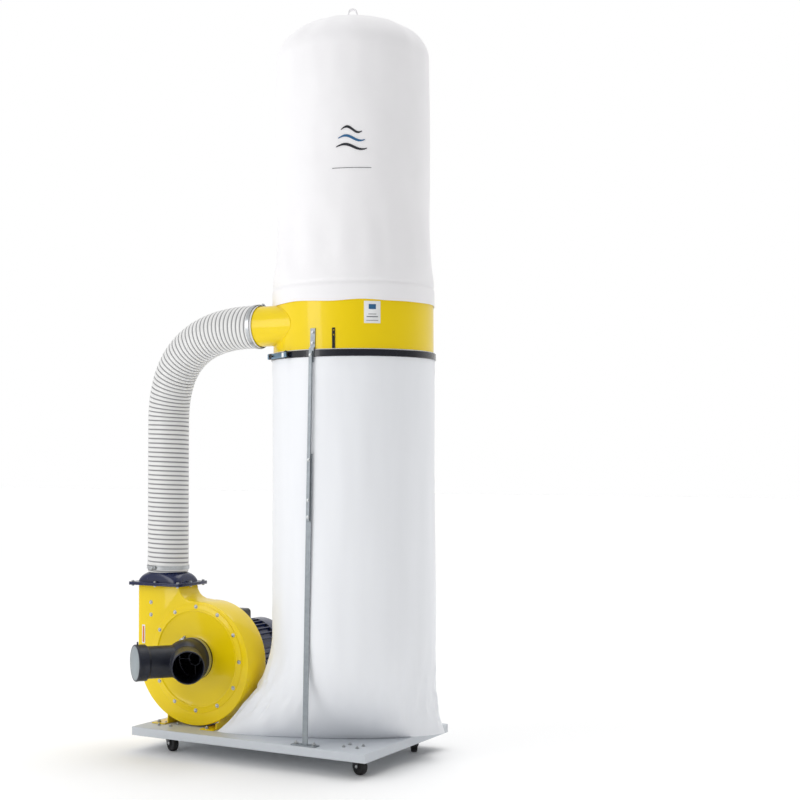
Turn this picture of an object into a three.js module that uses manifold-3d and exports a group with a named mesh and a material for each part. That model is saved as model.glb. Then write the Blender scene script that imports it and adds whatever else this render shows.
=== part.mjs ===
// Mobile dust collector: a centrifugal fan on a castered base plate blows through a flexible duct into
// a sheet-metal ring on three legs, with a filter bag above the ring and a collection bag below it.
// Millimetres, +Z up. Everything is laid out from the middle of the base plate, X from the fan to the
// bags and Y to the back, and the whole stand is shifted at the end so that the origin lies on the
// floor under the middle of the object's outline.

import * as THREE from 'three';
import Module from 'manifold-3d';
import { mergeVertices } from 'three/addons/utils/BufferGeometryUtils.js';

const wasm = await Module();
wasm.setup();

// ---- driving dimensions ----

const GAP = 0.3;              // clearance between pieces that touch
const SHEET = 2;              // sheet steel of the fan housing and the ring

const PLATE = { length: 836, width: 561, top: 77, lip: 26.5, sheet: 3 };

const CASTER = {
  x: 335, y: 198, wheelRadius: 25, wheelWidth: 20, trail: 28, axle: 3, cheek: 2,
  mountingPlate: 60, mountingSheet: 2.5, kingPin: 4, race: 15,
};
// Each caster's corner and the heading of its trailing wheel, in degrees from +X.
const CASTERS = [
  { name: 'front_right', x: 1, y: -1, heading: -20 },
  { name: 'front_left', x: -1, y: -1, heading: -25 },
  { name: 'back_right', x: 1, y: 1, heading: -59 },
  { name: 'back_left', x: -1, y: 1, heading: 200 },
];

const RING = { x: 229.5, y: 0, radius: 250, bottom: 1218, top: 1440 };
const DUCT = { radius: 62.5, wall: 1.5 };                    // spigots for 125 mm hose
const STUB = { y: -171, z: 1334, mouth: -255, hoseEnd: -231, inner: -60 };  // x from the ring's middle

const BAG = { wall: 1.6, bottom: PLATE.top + GAP, mouth: 1250, radius: 254.5, neck: 253.3 };
const EAR = { heading: 29.5, left: 425, right: 280, width: 102 };  // the bag's flat bottom on the plate

const FILTER = { wall: 2, skirt: 1398, radius: 243, foot: 253.6, shoulder: 2172, dome: 134.5 };
const LOOP = { width: 30, height: 37, strap: 3, depth: 14 };

const BAND = { low: 1227, high: 1248, inner: 253.9, thick: 3 };
const LATCH = { angle: 236, half: 13, lever: 112, width: 16, thick: 5 };

const LEGS = [
  { name: 'front', angle: -90, lean: -24.5 },
  { name: 'back', angle: 90, lean: 0 },
  { name: 'inner', angle: 180, lean: 0 },
];
const LEG = {
  inner: 257.3, lowerWidth: 18, upperWidth: 11, bar: 3, upperBar: 5, splice: 938, upperEnd: 738,
  upperTop: 1244, bracketTop: 1312, bracketEnd: 1210, bracketWidth: 16, foot: [84, 28, 3],
};

const FAN = {
  x: -240, z: 292, front: -180.6, depth: 105, scrollStart: 177, scrollEnd: 228, opening: 155,
  ductInner: -308, ductTop: 515,
};
const COVER = { radius: 171, sheet: 2, spigot: 26 };
const GUARD = { hub: 23, rod: 3.6 };
const IMPELLER = { radius: 140, back: -86, disc: 3, depth: 58, blades: 10, eye: 46, hub: 24 };

const WYE = {
  base: 66, bore: 63, branch: 50, branchBore: 47, spread: 37.5, junction: 56, reach: 162.5,
  lip: 54, lipLength: 30,
};
const CAP = { radius: 56.3, bore: 54.4, skirt: 33, face: 3 };

const FLANGE = { length: 197, width: 161, thick: 5 };
const HOOD = { base: [80, 64], top: 555, collarTop: 592 };
const HOSE = { inner: 64.3, outer: 68, bottom: 557.5, bend: 1040, cuff: 42 };
const CLAMP = { thick: 1.2, width: 12, screw: 3.2 };

const MOTOR = { shaft: 12, radius: 95, core: 84, bore: 80, front: -75.3, bodyFront: -42, bodyBack: 158,
  cowlBack: 222, finCount: 32 };
const SWITCH = { x: -234, y: 22, size: [90, 76, 44], wall: 3, button: 9 };

// ---- shaping helpers ----

const radians = THREE.MathUtils.degToRad;

function solid(geometry) {
  const bare = geometry.clone();
  bare.deleteAttribute('normal');
  bare.deleteAttribute('uv');
  const merged = mergeVertices(bare, 1e-4);
  const corners = merged.index.array;
  const kept = [];
  for (let i = 0; i < corners.length; i += 3) {
    const [a, b, c] = [corners[i], corners[i + 1], corners[i + 2]];
    if (a !== b && b !== c && c !== a) kept.push(a, b, c);
  }
  return new wasm.Manifold(new wasm.Mesh({
    numProp: 3,
    vertProperties: new Float32Array(merged.attributes.position.array),
    triVerts: new Uint32Array(kept),
  }));
}

function geometryOf(body) {
  const mesh = body.getMesh();
  const geometry = new THREE.BufferGeometry();
  geometry.setAttribute('position', new THREE.BufferAttribute(mesh.vertProperties, 3));
  geometry.setIndex(new THREE.BufferAttribute(mesh.triVerts, 1));
  geometry.computeVertexNormals();
  return geometry;
}

const join = (...pieces) => geometryOf(pieces.map(solid).reduce((a, b) => a.add(b)));
const cut = (base, ...tools) => geometryOf(tools.map(solid).reduce((a, b) => a.subtract(b), solid(base)));
const within = (a, b) => geometryOf(solid(a).intersect(solid(b)));

// A box between two corners.
function block([x0, y0, z0], [x1, y1, z1]) {
  const box = new THREE.BoxGeometry(x1 - x0, y1 - y0, z1 - z0);
  return box.translate((x0 + x1) / 2, (y0 + y1) / 2, (z0 + z1) / 2);
}

// A solid of revolution about Z from [radius, z] points.
function turned(points, segments = 32) {
  const profile = points.map(([r, z]) => new THREE.Vector2(r, z));
  if (THREE.ShapeUtils.area(profile) < 0) profile.reverse();
  if (profile[0].x > 0 || profile[profile.length - 1].x > 0) profile.push(profile[0].clone());
  return new THREE.LatheGeometry(profile, segments).rotateX(Math.PI / 2);
}

const disc = (radius, z0, z1, segments = 24) => turned([[0, z0], [radius, z0], [radius, z1], [0, z1]], segments);
const pipe = (outer, inner, z0, z1, segments = 24) =>
  turned([[inner, z0], [outer, z0], [outer, z1], [inner, z1]], segments);

// Turn a piece made along +Z so that it points along +Y, or along another horizontal heading.
const alongY = (geometry) => geometry.rotateX(-Math.PI / 2);
const alongHeading = (geometry, degrees) => geometry.rotateY(Math.PI / 2).rotateZ(radians(degrees));

// Extrude an XZ outline from one Y to another.
function crosswise(shape, y0, y1, curveSegments = 12) {
  const options = { depth: y1 - y0, bevelEnabled: false, curveSegments };
  return new THREE.ExtrudeGeometry(shape, options).rotateX(Math.PI / 2).translate(0, y1, 0);
}

// A solid through closed sections that all have the same number of points, from bottom to top.
function loft(sections) {
  const count = sections[0].length;
  const points = sections.flat();
  const centre = (section) => section.reduce((sum, p) => sum.add(p), new THREE.Vector3()).divideScalar(count);
  points.push(centre(sections[0]), centre(sections[sections.length - 1]));
  const [low, high] = [points.length - 2, points.length - 1];
  const top = (sections.length - 1) * count;
  const faces = [];
  for (let i = 0; i < count; i += 1) {
    const next = (i + 1) % count;
    faces.push(low, next, i, high, top + i, top + next);
    for (let row = 0; row < top; row += count) {
      faces.push(row + i, row + next, row + next + count, row + i, row + next + count, row + i + count);
    }
  }
  const geometry = new THREE.BufferGeometry().setFromPoints(points);
  geometry.setIndex(faces);
  return geometry;
}

// A closed section: an ellipse that squares up as its exponent grows past 2.
function roundedSection(halfX, halfY, exponent, z, count = 28) {
  return Array.from({ length: count }, (_, i) => {
    const angle = (i / count) * 2 * Math.PI;
    const power = 2 / exponent;
    const x = Math.sign(Math.cos(angle)) * halfX * Math.abs(Math.cos(angle)) ** power;
    const y = Math.sign(Math.sin(angle)) * halfY * Math.abs(Math.sin(angle)) ** power;
    return new THREE.Vector3(x, y, z);
  });
}

// ---- finishes ----

const FINISH = {
  yellow: [0xf0cb00, 0.35, 0.1], navy: [0x14203f, 0.35, 0.1], black: [0x111214, 0.5, 0.0],
  inlet: [0x171b28, 0.45, 0.0], deck: [0xb9bfc6, 0.45, 0.3], pole: [0x9aa1a6, 0.4, 0.6],
  steel: [0xc4c6c8, 0.3, 0.9], casting: [0x8d9196, 0.5, 0.8], rubber: [0x0c0c0d, 0.7, 0.0],
  cloth: [0xf4f3f5, 0.9, 0.0], film: [0xeef0f2, 0.35, 0.0], hose: [0xcfd0cf, 0.45, 0.0],
  capface: [0x8f979c, 0.5, 0.0], green: [0x1f8f4a, 0.4, 0.0], red: [0xb3261e, 0.4, 0.0],
};

const stand = new THREE.Group();

function add(name, geometry, finish, parent = stand) {
  const [color, roughness, metalness] = FINISH[finish];
  const mesh = new THREE.Mesh(geometryOf(solid(geometry)),
    new THREE.MeshStandardMaterial({ color, roughness, metalness }));
  mesh.name = name;
  parent.add(mesh);
}

// ---- base plate and casters ----

function basePlate() {
  const [x, y] = [PLATE.length / 2, PLATE.width / 2];
  const low = PLATE.top - PLATE.lip;
  const pan = block([-x, -y, low], [x, y, PLATE.top]);
  const inside = block([PLATE.sheet - x, PLATE.sheet - y, low - 1],
    [x - PLATE.sheet, y - PLATE.sheet, PLATE.top - PLATE.sheet]);
  return cut(pan, inside);
}

// Heights inside one caster, from the floor.
const casterTop = PLATE.top - PLATE.sheet - GAP;
const raceTop = casterTop - CASTER.mountingSheet;
const forkTop = raceTop - 5 - GAP;
const forkSheet = 2.5;

function casterPlate() {
  const half = CASTER.mountingPlate / 2;
  const head = forkTop - forkSheet - GAP;
  return join(
    block([-half, -half, raceTop], [half, half, casterTop]),
    disc(CASTER.race, raceTop - 5, raceTop + 1),
    disc(CASTER.kingPin, head - 1, raceTop - 4, 12),
    disc(CASTER.kingPin + 3, head - 2.5, head, 12),
  );
}

function casterFork() {
  const inner = CASTER.wheelWidth / 2 + 1.2;
  const outer = inner + CASTER.cheek;
  const side = new THREE.Shape();
  side.moveTo(-15, forkTop);
  side.lineTo(-15, forkTop - 9);
  side.lineTo(CASTER.trail - 8, CASTER.wheelRadius - 4);
  side.absarc(CASTER.trail, CASTER.wheelRadius, 8, radians(210), radians(360), false);
  side.lineTo(17, forkTop - 8);
  side.lineTo(15, forkTop);
  const roof = block([-15, -outer, forkTop - forkSheet], [15, outer, forkTop]);
  const axle = alongY(disc(CASTER.axle, -outer, outer, 12)).translate(CASTER.trail, 0, CASTER.wheelRadius);
  const fork = join(roof, crosswise(side, inner, outer, 6), crosswise(side, -outer, -inner, 6), axle);
  return cut(fork, disc(CASTER.kingPin + 0.4, forkTop - 5, forkTop + 1, 12));
}

function casterWheel() {
  const half = CASTER.wheelWidth / 2;
  const r = CASTER.wheelRadius;
  const bore = CASTER.axle + 0.3;
  return alongY(turned([[bore, -half], [r - 3, -half], [r, 4 - half], [r, half - 4], [r - 3, half],
    [bore, half]], 24)).translate(CASTER.trail, 0, r);
}

function addCasters() {
  for (const { name, x, y, heading } of CASTERS) {
    const corner = new THREE.Group();
    corner.position.set(x * CASTER.x, y * CASTER.y, 0);
    const swivel = new THREE.Group();
    swivel.rotation.z = radians(heading);
    corner.add(swivel);
    stand.add(corner);
    add(`caster_plate_${name}`, casterPlate(), 'steel', corner);
    add(`caster_fork_${name}`, casterFork(), 'black', swivel);
    add(`caster_wheel_${name}`, casterWheel(), 'rubber', swivel);
  }
}

// ---- the ring, its legs and its fittings; all turned about the ring's middle ----

const atRing = new THREE.Group();
atRing.position.set(RING.x, RING.y, 0);
stand.add(atRing);

function filterRing() {
  const drum = disc(RING.radius, RING.bottom, RING.top, 60);
  const hollow = disc(RING.radius - SHEET, RING.bottom - 1, RING.top + 1, 60);
  const along = (radius, x0, x1) => alongHeading(disc(radius, x0, x1, 32), 0).translate(0, STUB.y, STUB.z);
  const shell = join(drum, along(DUCT.radius, STUB.mouth, STUB.inner));
  return cut(shell, hollow, along(DUCT.radius - DUCT.wall, STUB.mouth - 1, STUB.inner));
}

// A leg is made for the heading -Y and turned to its own heading about the ring.
function legBar(width, r0, r1, z0, z1) {
  return block([-width / 2, -r1, z0], [width / 2, -r0, z1]);
}

function legBracket() {
  const r = RING.radius + GAP;
  const step = BAND.high + 4;
  const out = LEG.inner + LEG.bar;
  const strip = join(
    legBar(LEG.bracketWidth, r, r + LEG.bar, step, LEG.bracketTop),
    legBar(LEG.bracketWidth, r, out, step, step + LEG.bar),
    legBar(LEG.bracketWidth, LEG.inner, out, LEG.bracketEnd, step + LEG.bar),
  );
  return strip;
}

const legUpper = () =>
  legBar(LEG.upperWidth, LEG.inner + LEG.bar + GAP, LEG.inner + LEG.bar + GAP + LEG.upperBar,
    LEG.upperEnd, LEG.upperTop);

function legLower() {
  const [length, width, thick] = LEG.foot;
  const low = PLATE.top + GAP;
  const middle = LEG.inner + LEG.bar / 2;
  const foot = block([-length / 2, -middle - width / 2, low], [length / 2, width / 2 - middle, low + thick]);
  return join(legBar(LEG.lowerWidth, LEG.inner, LEG.inner + LEG.bar, low, LEG.splice), foot);
}

// Shear a leg sideways, so that its foot stands a little off its top.
function leaned(geometry, lean) {
  const position = geometry.attributes.position;
  for (let i = 0; i < position.count; i += 1) {
    const drop = Math.min(1, (LEG.bracketTop - position.getZ(i)) / (LEG.bracketTop - PLATE.top));
    position.setX(i, position.getX(i) + lean * drop);
  }
  return geometry;
}

function addLegs() {
  for (const { name, angle, lean } of LEGS) {
    const side = new THREE.Group();
    side.rotation.z = radians(angle + 90);
    atRing.add(side);
    add(`leg_bracket_${name}`, leaned(legBracket(), lean), 'steel', side);
    add(`leg_upper_${name}`, leaned(legUpper(), lean), 'pole', side);
    add(`leg_lower_${name}`, leaned(legLower(), lean), 'pole', side);
  }
}

// A short strip that hangs on the ring above the band, with two holes.
function hangerStrip() {
  const r = RING.radius + GAP;
  const strip = legBar(9, r, r + SHEET, BAG.mouth + 1, BAND.high + 64);
  const hole = (z) => alongY(disc(2.2, -r - 5, 5 - r, 12)).translate(0, 0, z);
  return cut(strip, hole(BAND.high + 57), hole(BAND.high + 43)).rotateZ(radians(15));
}

// The over-centre latch: the band carries a hinge block, and the lever lies along the band.
const latchOut = BAND.inner + BAND.thick;
const latchPivot = { r: latchOut + 11, angle: LATCH.angle + LATCH.half };

function onRing(geometry, angle) {
  return geometry.rotateZ(radians(angle));
}

function bandClamp() {
  const middle = (BAND.low + BAND.high) / 2;
  const hoop = pipe(latchOut, BAND.inner, BAND.low, BAND.high, 60);
  const lug = (z0, z1) => onRing(block([latchOut - 1, -5, z0], [latchPivot.r + 4, 5, z1]), latchPivot.angle);
  const pin = onRing(disc(2.2, BAND.low, BAND.high, 12).translate(latchPivot.r, 0, 0), latchPivot.angle);
  const keeper = onRing(block([latchOut - 1, -4, middle - 6], [latchOut + 4, 4, middle + 6]),
    LATCH.angle - LATCH.half - 7);
  return join(hoop, lug(BAND.low, BAND.low + 2), lug(BAND.high - 2, BAND.high), pin, keeper);
}

function bandLatch() {
  const middle = (BAND.low + BAND.high) / 2;
  const half = LATCH.width / 2;
  const lever = join(
    disc(4, middle - half, middle + half, 20),
    block([-2, -LATCH.lever, middle - half], [LATCH.thick - 2, 0, middle + half]),
    block([-2, -LATCH.lever - 6, middle - half], [LATCH.thick + 4, -LATCH.lever, middle + half]),
  );
  const eye = disc(2.2 + GAP, middle - half - 1, middle + half + 1, 12);
  return onRing(cut(lever, eye).rotateZ(radians(-LATCH.half)).translate(latchPivot.r, 0, 0), latchPivot.angle);
}

// ---- the bags ----

// One section of the collection bag. The low sections are lenses whose two corners stick out as ears.
function bagSection(z, inset = 0) {
  const rise = THREE.MathUtils.clamp((z - PLATE.top) / 330, 0, 1);
  const ease = 1 - (1 - rise) ** 2.2;
  const radius = z > BAND.low - 20 ? BAG.neck : BAG.radius;
  const left = THREE.MathUtils.lerp(EAR.left, radius, 1 - (1 - rise) ** 4) - inset;
  const right = THREE.MathUtils.lerp(EAR.right, radius, 1 - (1 - rise) ** 4) - inset;
  const wide = THREE.MathUtils.lerp(EAR.width, radius, ease) - inset;
  const pinch = 0.45 * (1 - rise) ** 3;
  return Array.from({ length: 32 }, (_, i) => {
    const angle = (i / 32) * 2 * Math.PI;
    const along = Math.cos(angle) * (Math.cos(angle) < 0 ? left : right);
    const across = Math.sin(angle) * Math.abs(Math.sin(angle)) ** pinch * wide;
    return new THREE.Vector3(along, across, z);
  });
}

function collectionBag() {
  const levels = [BAG.bottom, 105, 145, 200, 270, 410, BAND.low - 22, BAND.low - 8];
  const outer = loft([...levels, BAG.mouth].map((z) => bagSection(z)));
  const inner = [BAG.bottom + BAG.wall, ...levels.slice(1), BAG.mouth + 5];
  const hollow = loft(inner.map((z) => bagSection(z, BAG.wall)));
  return cut(outer, hollow).rotateZ(radians(EAR.heading));
}

function filterProfile(inset) {
  const { skirt, radius, foot, shoulder, dome } = FILTER;
  const points = [[foot - inset, skirt - (inset ? 1 : 0)], [foot - inset, RING.top + 6],
    [radius + 5 - inset, 1560], [radius - inset, 1700], [radius - inset, shoulder]];
  for (let turn = 15; turn < 90; turn += 15) {
    const angle = radians(turn);
    points.push([(radius - inset) * Math.cos(angle), shoulder + (dome - inset) * Math.sin(angle)]);
  }
  return [[0, points[0][1]], ...points, [0, shoulder + dome - inset]];
}

function filterBag() {
  return cut(turned(filterProfile(0), 36), turned(filterProfile(FILTER.wall), 36));
}

// The hanging loop is a strap bent over and sewn to the top of the filter bag.
function hangingLoop() {
  const top = FILTER.shoulder + FILTER.dome + GAP;
  const arch = (half, height) => {
    const shape = new THREE.Shape();
    shape.moveTo(half, 0);
    shape.lineTo(half * 0.8, height - half * 0.7);
    shape.absarc(0, height - half * 0.7, half * 0.8, 0, Math.PI, false);
    shape.lineTo(-half, 0);
    return shape;
  };
  const { width, height, strap, depth } = LOOP;
  const band = cut(crosswise(arch(width / 2, height - 2), -depth / 2, depth / 2, 8),
    crosswise(arch(width / 2 - strap, height - 2 - strap), -depth, depth, 8).translate(0, 0, 2));
  return band.translate(0, 0, top);
}

// ---- the fan ----

const axis = new THREE.Group();
axis.position.set(FAN.x, 0, FAN.z);
stand.add(axis);

// The scroll's outline about the fan's axis: it grows clockwise from the top, and rises into the duct.
function scroll(inset) {
  const shape = new THREE.Shape();
  const steps = 27;
  const radiusAt = (turn) => THREE.MathUtils.lerp(FAN.scrollStart, FAN.scrollEnd, turn) - inset;
  const top = FAN.ductTop - FAN.z + (inset ? 1 : 0);
  const neck = FAN.ductInner - FAN.x - inset;
  shape.moveTo(neck, top);
  shape.quadraticCurveTo(neck + 4, FAN.scrollStart - inset + 4, -12, radiusAt(0));
  for (let i = 0; i <= steps; i += 1) {
    const angle = radians(90 - (270 * i) / steps);
    const r = radiusAt(i / steps);
    shape.lineTo(r * Math.cos(angle), r * Math.sin(angle));
  }
  shape.lineTo(-FAN.scrollEnd + inset, top);
  return shape;
}

const fanBack = FAN.front + FAN.depth;

function fanHousing() {
  return cut(
    crosswise(scroll(0), FAN.front, fanBack, 6),
    crosswise(scroll(SHEET), FAN.front + SHEET, fanBack - SHEET, 6),
    alongY(disc(FAN.opening, FAN.front - 1, FAN.front + SHEET + 1, 48)),
    alongY(disc(34, fanBack - SHEET - 1, fanBack + 1, 24)),
  );
}

const coverBack = FAN.front - GAP;
const coverFront = coverBack - COVER.sheet;

function frontCover() {
  const spigotEnd = coverFront - COVER.spigot;
  const plate = turned([[0, coverFront], [COVER.radius - 3, coverFront], [COVER.radius, coverFront + 1],
    [COVER.radius, coverBack], [0, coverBack]], 48);
  const spigot = disc(DUCT.radius, spigotEnd, coverFront + 1, 32);
  return alongY(cut(join(plate, spigot), disc(DUCT.radius - DUCT.wall, spigotEnd - 1, coverBack + 1, 32)));
}

function inletGuard() {
  const reach = DUCT.radius - DUCT.wall - GAP;
  const [y0, y1] = [coverFront - 8, coverFront - 8 + GUARD.rod];
  const spoke = (turn) => block([GUARD.hub - 1, -GUARD.rod / 2, y0], [reach - 1, GUARD.rod / 2, y1])
    .rotateZ(radians(turn));
  return alongY(join(
    pipe(GUARD.hub, GUARD.hub - GUARD.rod, y0, y1, 20), pipe(reach, reach - 3, y0, y1),
    ...[0, 90, 180, 270].map(spoke),
  ));
}

function impeller() {
  const { radius, back, disc: thick, depth, blades, eye, hub } = IMPELLER;
  const plate = disc(radius, back - thick, back, 48);
  const boss = disc(hub, back - 34, back, 24);
  const blade = (i) => block([eye, -1.2, back - depth], [radius, 1.2, back - thick / 2])
    .translate(-eye, 0, 0).rotateZ(radians(-24)).translate(eye, 0, 0).rotateZ(radians((360 * i) / blades));
  const rim = disc(radius + 2, back - depth - 1, back + 1, 48);
  const wheel = join(plate, boss, ...Array.from({ length: blades }, (_, i) => blade(i)));
  return alongY(cut(within(wheel, rim), disc(MOTOR.shaft + GAP, back - 40, back + 1, 24)));
}

// ---- the Y inlet, its cap and its clamp ----

const junctionY = FAN.front - WYE.junction;
const branchEnd = (side, length = WYE.reach) => new THREE.Vector3(
  side * Math.sin(radians(WYE.spread)) * length, junctionY - Math.cos(radians(WYE.spread)) * length, 0);

// A piece made along +Z from z=0 is laid along one branch, starting at the junction.
function onBranch(geometry, side) {
  return alongHeading(geometry, -90 + side * WYE.spread).translate(0, junctionY, 0);
}

function wyeInlet() {
  const baseEnd = coverFront - GAP;
  const ball = (r) => new THREE.SphereGeometry(r, 16, 10).translate(0, junctionY, 0);
  const outside = join(
    alongY(disc(WYE.base, junctionY, baseEnd, 40)), ball(WYE.base),
    onBranch(disc(WYE.branch, 0, WYE.reach), -1), onBranch(disc(WYE.branch, 0, WYE.reach), 1),
    onBranch(disc(WYE.lip, WYE.reach - WYE.lipLength, WYE.reach), -1),
  );
  return cut(outside, alongY(disc(WYE.base + 1, baseEnd, baseEnd + 30)),
    alongY(disc(WYE.bore, junctionY, baseEnd + 1, 40)), ball(WYE.bore - 0.5),
    onBranch(disc(WYE.branchBore, 0, WYE.reach + 1), -1), onBranch(disc(WYE.branchBore, 0, WYE.reach + 1), 1),
  );
}

function inletCap() {
  const end = WYE.reach + GAP + CAP.face;
  const cup = turned([[0, end - CAP.face], [CAP.bore, end - CAP.face], [CAP.bore, end - CAP.skirt],
    [CAP.radius, end - CAP.skirt], [CAP.radius, end - 2], [CAP.radius - 2, end], [0, end]], 32);
  const tab = block([-CAP.radius - 6, -4, end - 12], [1 - CAP.radius, 4, end - 6]);
  return onBranch(join(cup, tab), -1);
}

// A worm-drive clamp about Z: a band with a screw housing on its +X side.
function clampBand(radius) {
  const inner = radius + GAP;
  const outer = inner + CLAMP.thick;
  const half = CLAMP.width / 2;
  const tower = block([outer - 1, -10, -half], [outer + 9, 10, half]);
  const bore = alongY(disc(CLAMP.screw + GAP, -11, 11, 16)).translate(outer + 4.6, 0, 0);
  return cut(join(pipe(outer, inner, -half, half, 36), tower), bore,
    block([outer + 4.6, -6, -half - 1], [outer + 12, 6, half + 1]));
}

function clampScrew(radius) {
  const centre = radius + GAP + CLAMP.thick + 4.6;
  const screw = turned([[0, -16], [CLAMP.screw, -16], [CLAMP.screw, 10.8], [CLAMP.screw + 2, 10.8],
    [CLAMP.screw + 2, 16], [0, 16]], 16);
  const slot = block([-6, -0.6, 14.5], [6, 0.6, 17]);
  return alongY(cut(screw, slot)).translate(centre, 0, 0);
}

function addClamp(name, radius, place) {
  add(`${name}_clamp`, place(clampBand(radius)), 'steel');
  add(`${name}_clamp_screw`, place(clampScrew(radius)), 'steel');
}

// ---- outlet hood and hose ----

const ductX = (FAN.x - FAN.scrollEnd + FAN.ductInner) / 2;
const ductY = FAN.front + FAN.depth / 2;
const ductHalf = [(FAN.ductInner - FAN.x + FAN.scrollEnd) / 2 - SHEET, FAN.depth / 2 - SHEET];

function flangePlate(z0) {
  const [x, y] = [FLANGE.length / 2, FLANGE.width / 2];
  return block([-x, -y, z0], [x, y, z0 + FLANGE.thick]);
}

const flangeLow = FAN.ductTop + GAP;
const hoodLow = flangeLow + FLANGE.thick + GAP;

function ductFlange() {
  const [x, y] = ductHalf;
  return cut(flangePlate(flangeLow), block([-x, -y, flangeLow - 1], [x, y, flangeLow + 9]))
    .translate(ductX, ductY, 0);
}

function hoodBody(inset, low, high) {
  const [x, y] = HOOD.base;
  const top = HOOD.top;
  const round = DUCT.radius + 4;
  const rows = [[x, y, 6, low], [x - 2, y - 1, 5, hoodLow + 14], [x - 6, y - 1, 3.4, top - 9],
    [round + 3, round - 1, 2.3, top - 2.5], [round - 2, round - 2, 2, high]];
  return loft(rows.map(([a, b, power, z]) => roundedSection(a - inset, b - inset, power, z)));
}

function outletHood() {
  const collar = disc(DUCT.radius, HOOD.top - 5, HOOD.collarTop);
  const bore = disc(DUCT.radius - DUCT.wall, HOOD.top - 12, HOOD.collarTop + 1);
  const outside = join(flangePlate(hoodLow), hoodBody(0, hoodLow, HOOD.top), collar);
  return cut(outside, hoodBody(2.5, hoodLow - 1, HOOD.top - 2.5), bore).translate(ductX, ductY, 0);
}

const stubX = RING.x + STUB.hoseEnd;

function hoseRoute() {
  const [y, z] = [RING.y + STUB.y, STUB.z];
  const start = new THREE.Vector3(ductX, ductY, HOSE.bottom);
  const bendStart = new THREE.Vector3(ductX, ductY, HOSE.bend);
  const bendEnd = new THREE.Vector3(stubX - HOSE.cuff, y, z);
  const end = new THREE.Vector3(stubX, y, z);
  const route = new THREE.CurvePath();
  route.add(new THREE.LineCurve3(start, bendStart));
  route.add(new THREE.CubicBezierCurve3(bendStart, new THREE.Vector3(ductX, ductY, HOSE.bend + 165),
    new THREE.Vector3(stubX - 290, y, z), bendEnd));
  route.add(new THREE.LineCurve3(bendEnd, end));
  return route;
}

function hose() {
  const ring = new THREE.Shape().absarc(0, 0, HOSE.outer, 0, 2 * Math.PI);
  ring.holes.push(new THREE.Path().absarc(0, 0, HOSE.inner, 0, 2 * Math.PI, true));
  return new THREE.ExtrudeGeometry(ring, {
    steps: 27, extrudePath: hoseRoute(), bevelEnabled: false, curveSegments: 8,
  });
}

// ---- motor and switch ----

function motorBody() {
  const shape = new THREE.Shape();
  for (let i = 0; i < MOTOR.finCount; i += 1) {
    const start = (360 * i) / MOTOR.finCount;
    const pitch = 360 / MOTOR.finCount;
    const corner = (turn, r) => {
      const angle = radians(start + turn * pitch);
      const [x, y] = [r * Math.cos(angle), r * Math.sin(angle)];
      if (i === 0 && turn === 0) shape.moveTo(x, y);
      else shape.lineTo(x, y);
    };
    corner(0, MOTOR.core + 2);
    corner(0.1, MOTOR.radius);
    corner(0.35, MOTOR.radius);
    corner(0.45, MOTOR.core + 2);
  }
  shape.closePath();
  const body = crosswise(shape, MOTOR.bodyFront, MOTOR.bodyBack);
  return cut(body, alongY(disc(MOTOR.bore, MOTOR.bodyFront - 1, MOTOR.bodyBack + 1, 32)));
}

const bearingOuter = 26;

function motorFrontBell() {
  const { front, bodyFront, bore } = MOTOR;
  const back = bodyFront - GAP;
  return alongY(turned([[bearingOuter + GAP, front + 8], [bearingOuter + GAP, back - 1], [40, back - 1],
    [70, back - 6], [88, back], [92, back], [92, front + 12], [86, front], [bore - 52, front],
    [bore - 52, front + 8]], 30));
}

function motorRearBell() {
  const front = MOTOR.bodyBack + GAP;
  return alongY(turned([[bearingOuter + GAP, front], [90, front], [90, front + 8], [44, front + 12],
    [40, front + 19], [16, front + 19], [16, front + 15], [bearingOuter + GAP, front + 15]], 30));
}

const bearing = (y0, y1) => alongY(pipe(bearingOuter, MOTOR.shaft + GAP, y0, y1, 28));

function stator() {
  return alongY(pipe(MOTOR.bore - 1, 52, MOTOR.bodyFront + 30, MOTOR.bodyBack - 30, 36));
}

const rotorCore = () => alongY(pipe(51, MOTOR.shaft + GAP, MOTOR.bodyFront + 32, MOTOR.bodyBack - 32, 36));

function motorShaft() {
  return alongY(disc(MOTOR.shaft, IMPELLER.back - 38, MOTOR.bodyBack + 46, 24));
}

function coolingFan() {
  const [y0, y1] = [MOTOR.bodyBack + 24, MOTOR.bodyBack + 42];
  const blade = (i) => block([18, -1.2, y0 + 3], [78, 1.2, y1]).rotateZ(radians(i * 45));
  const fan = join(disc(20, y0, y1, 24), disc(60, y0, y0 + 4, 32),
    ...Array.from({ length: 8 }, (_, i) => blade(i)));
  return alongY(cut(fan, disc(MOTOR.shaft + GAP, y0 - 1, y1 + 1, 24)));
}

function fanCowl() {
  const [y0, y1] = [MOTOR.bodyBack + GAP, MOTOR.cowlBack];
  const cup = turned([[91.5, y0], [94, y0], [94, y1 - 8], [86, y1], [0, y1], [0, y1 - 2], [85, y1 - 2],
    [91.5, y1 - 9]], 36);
  const slot = (i) => block([30, -3.5, y1 - 4], [72, 3.5, y1 + 2]).rotateZ(radians(i * 30));
  return alongY(cut(cup, ...Array.from({ length: 12 }, (_, i) => slot(i))));
}

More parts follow.
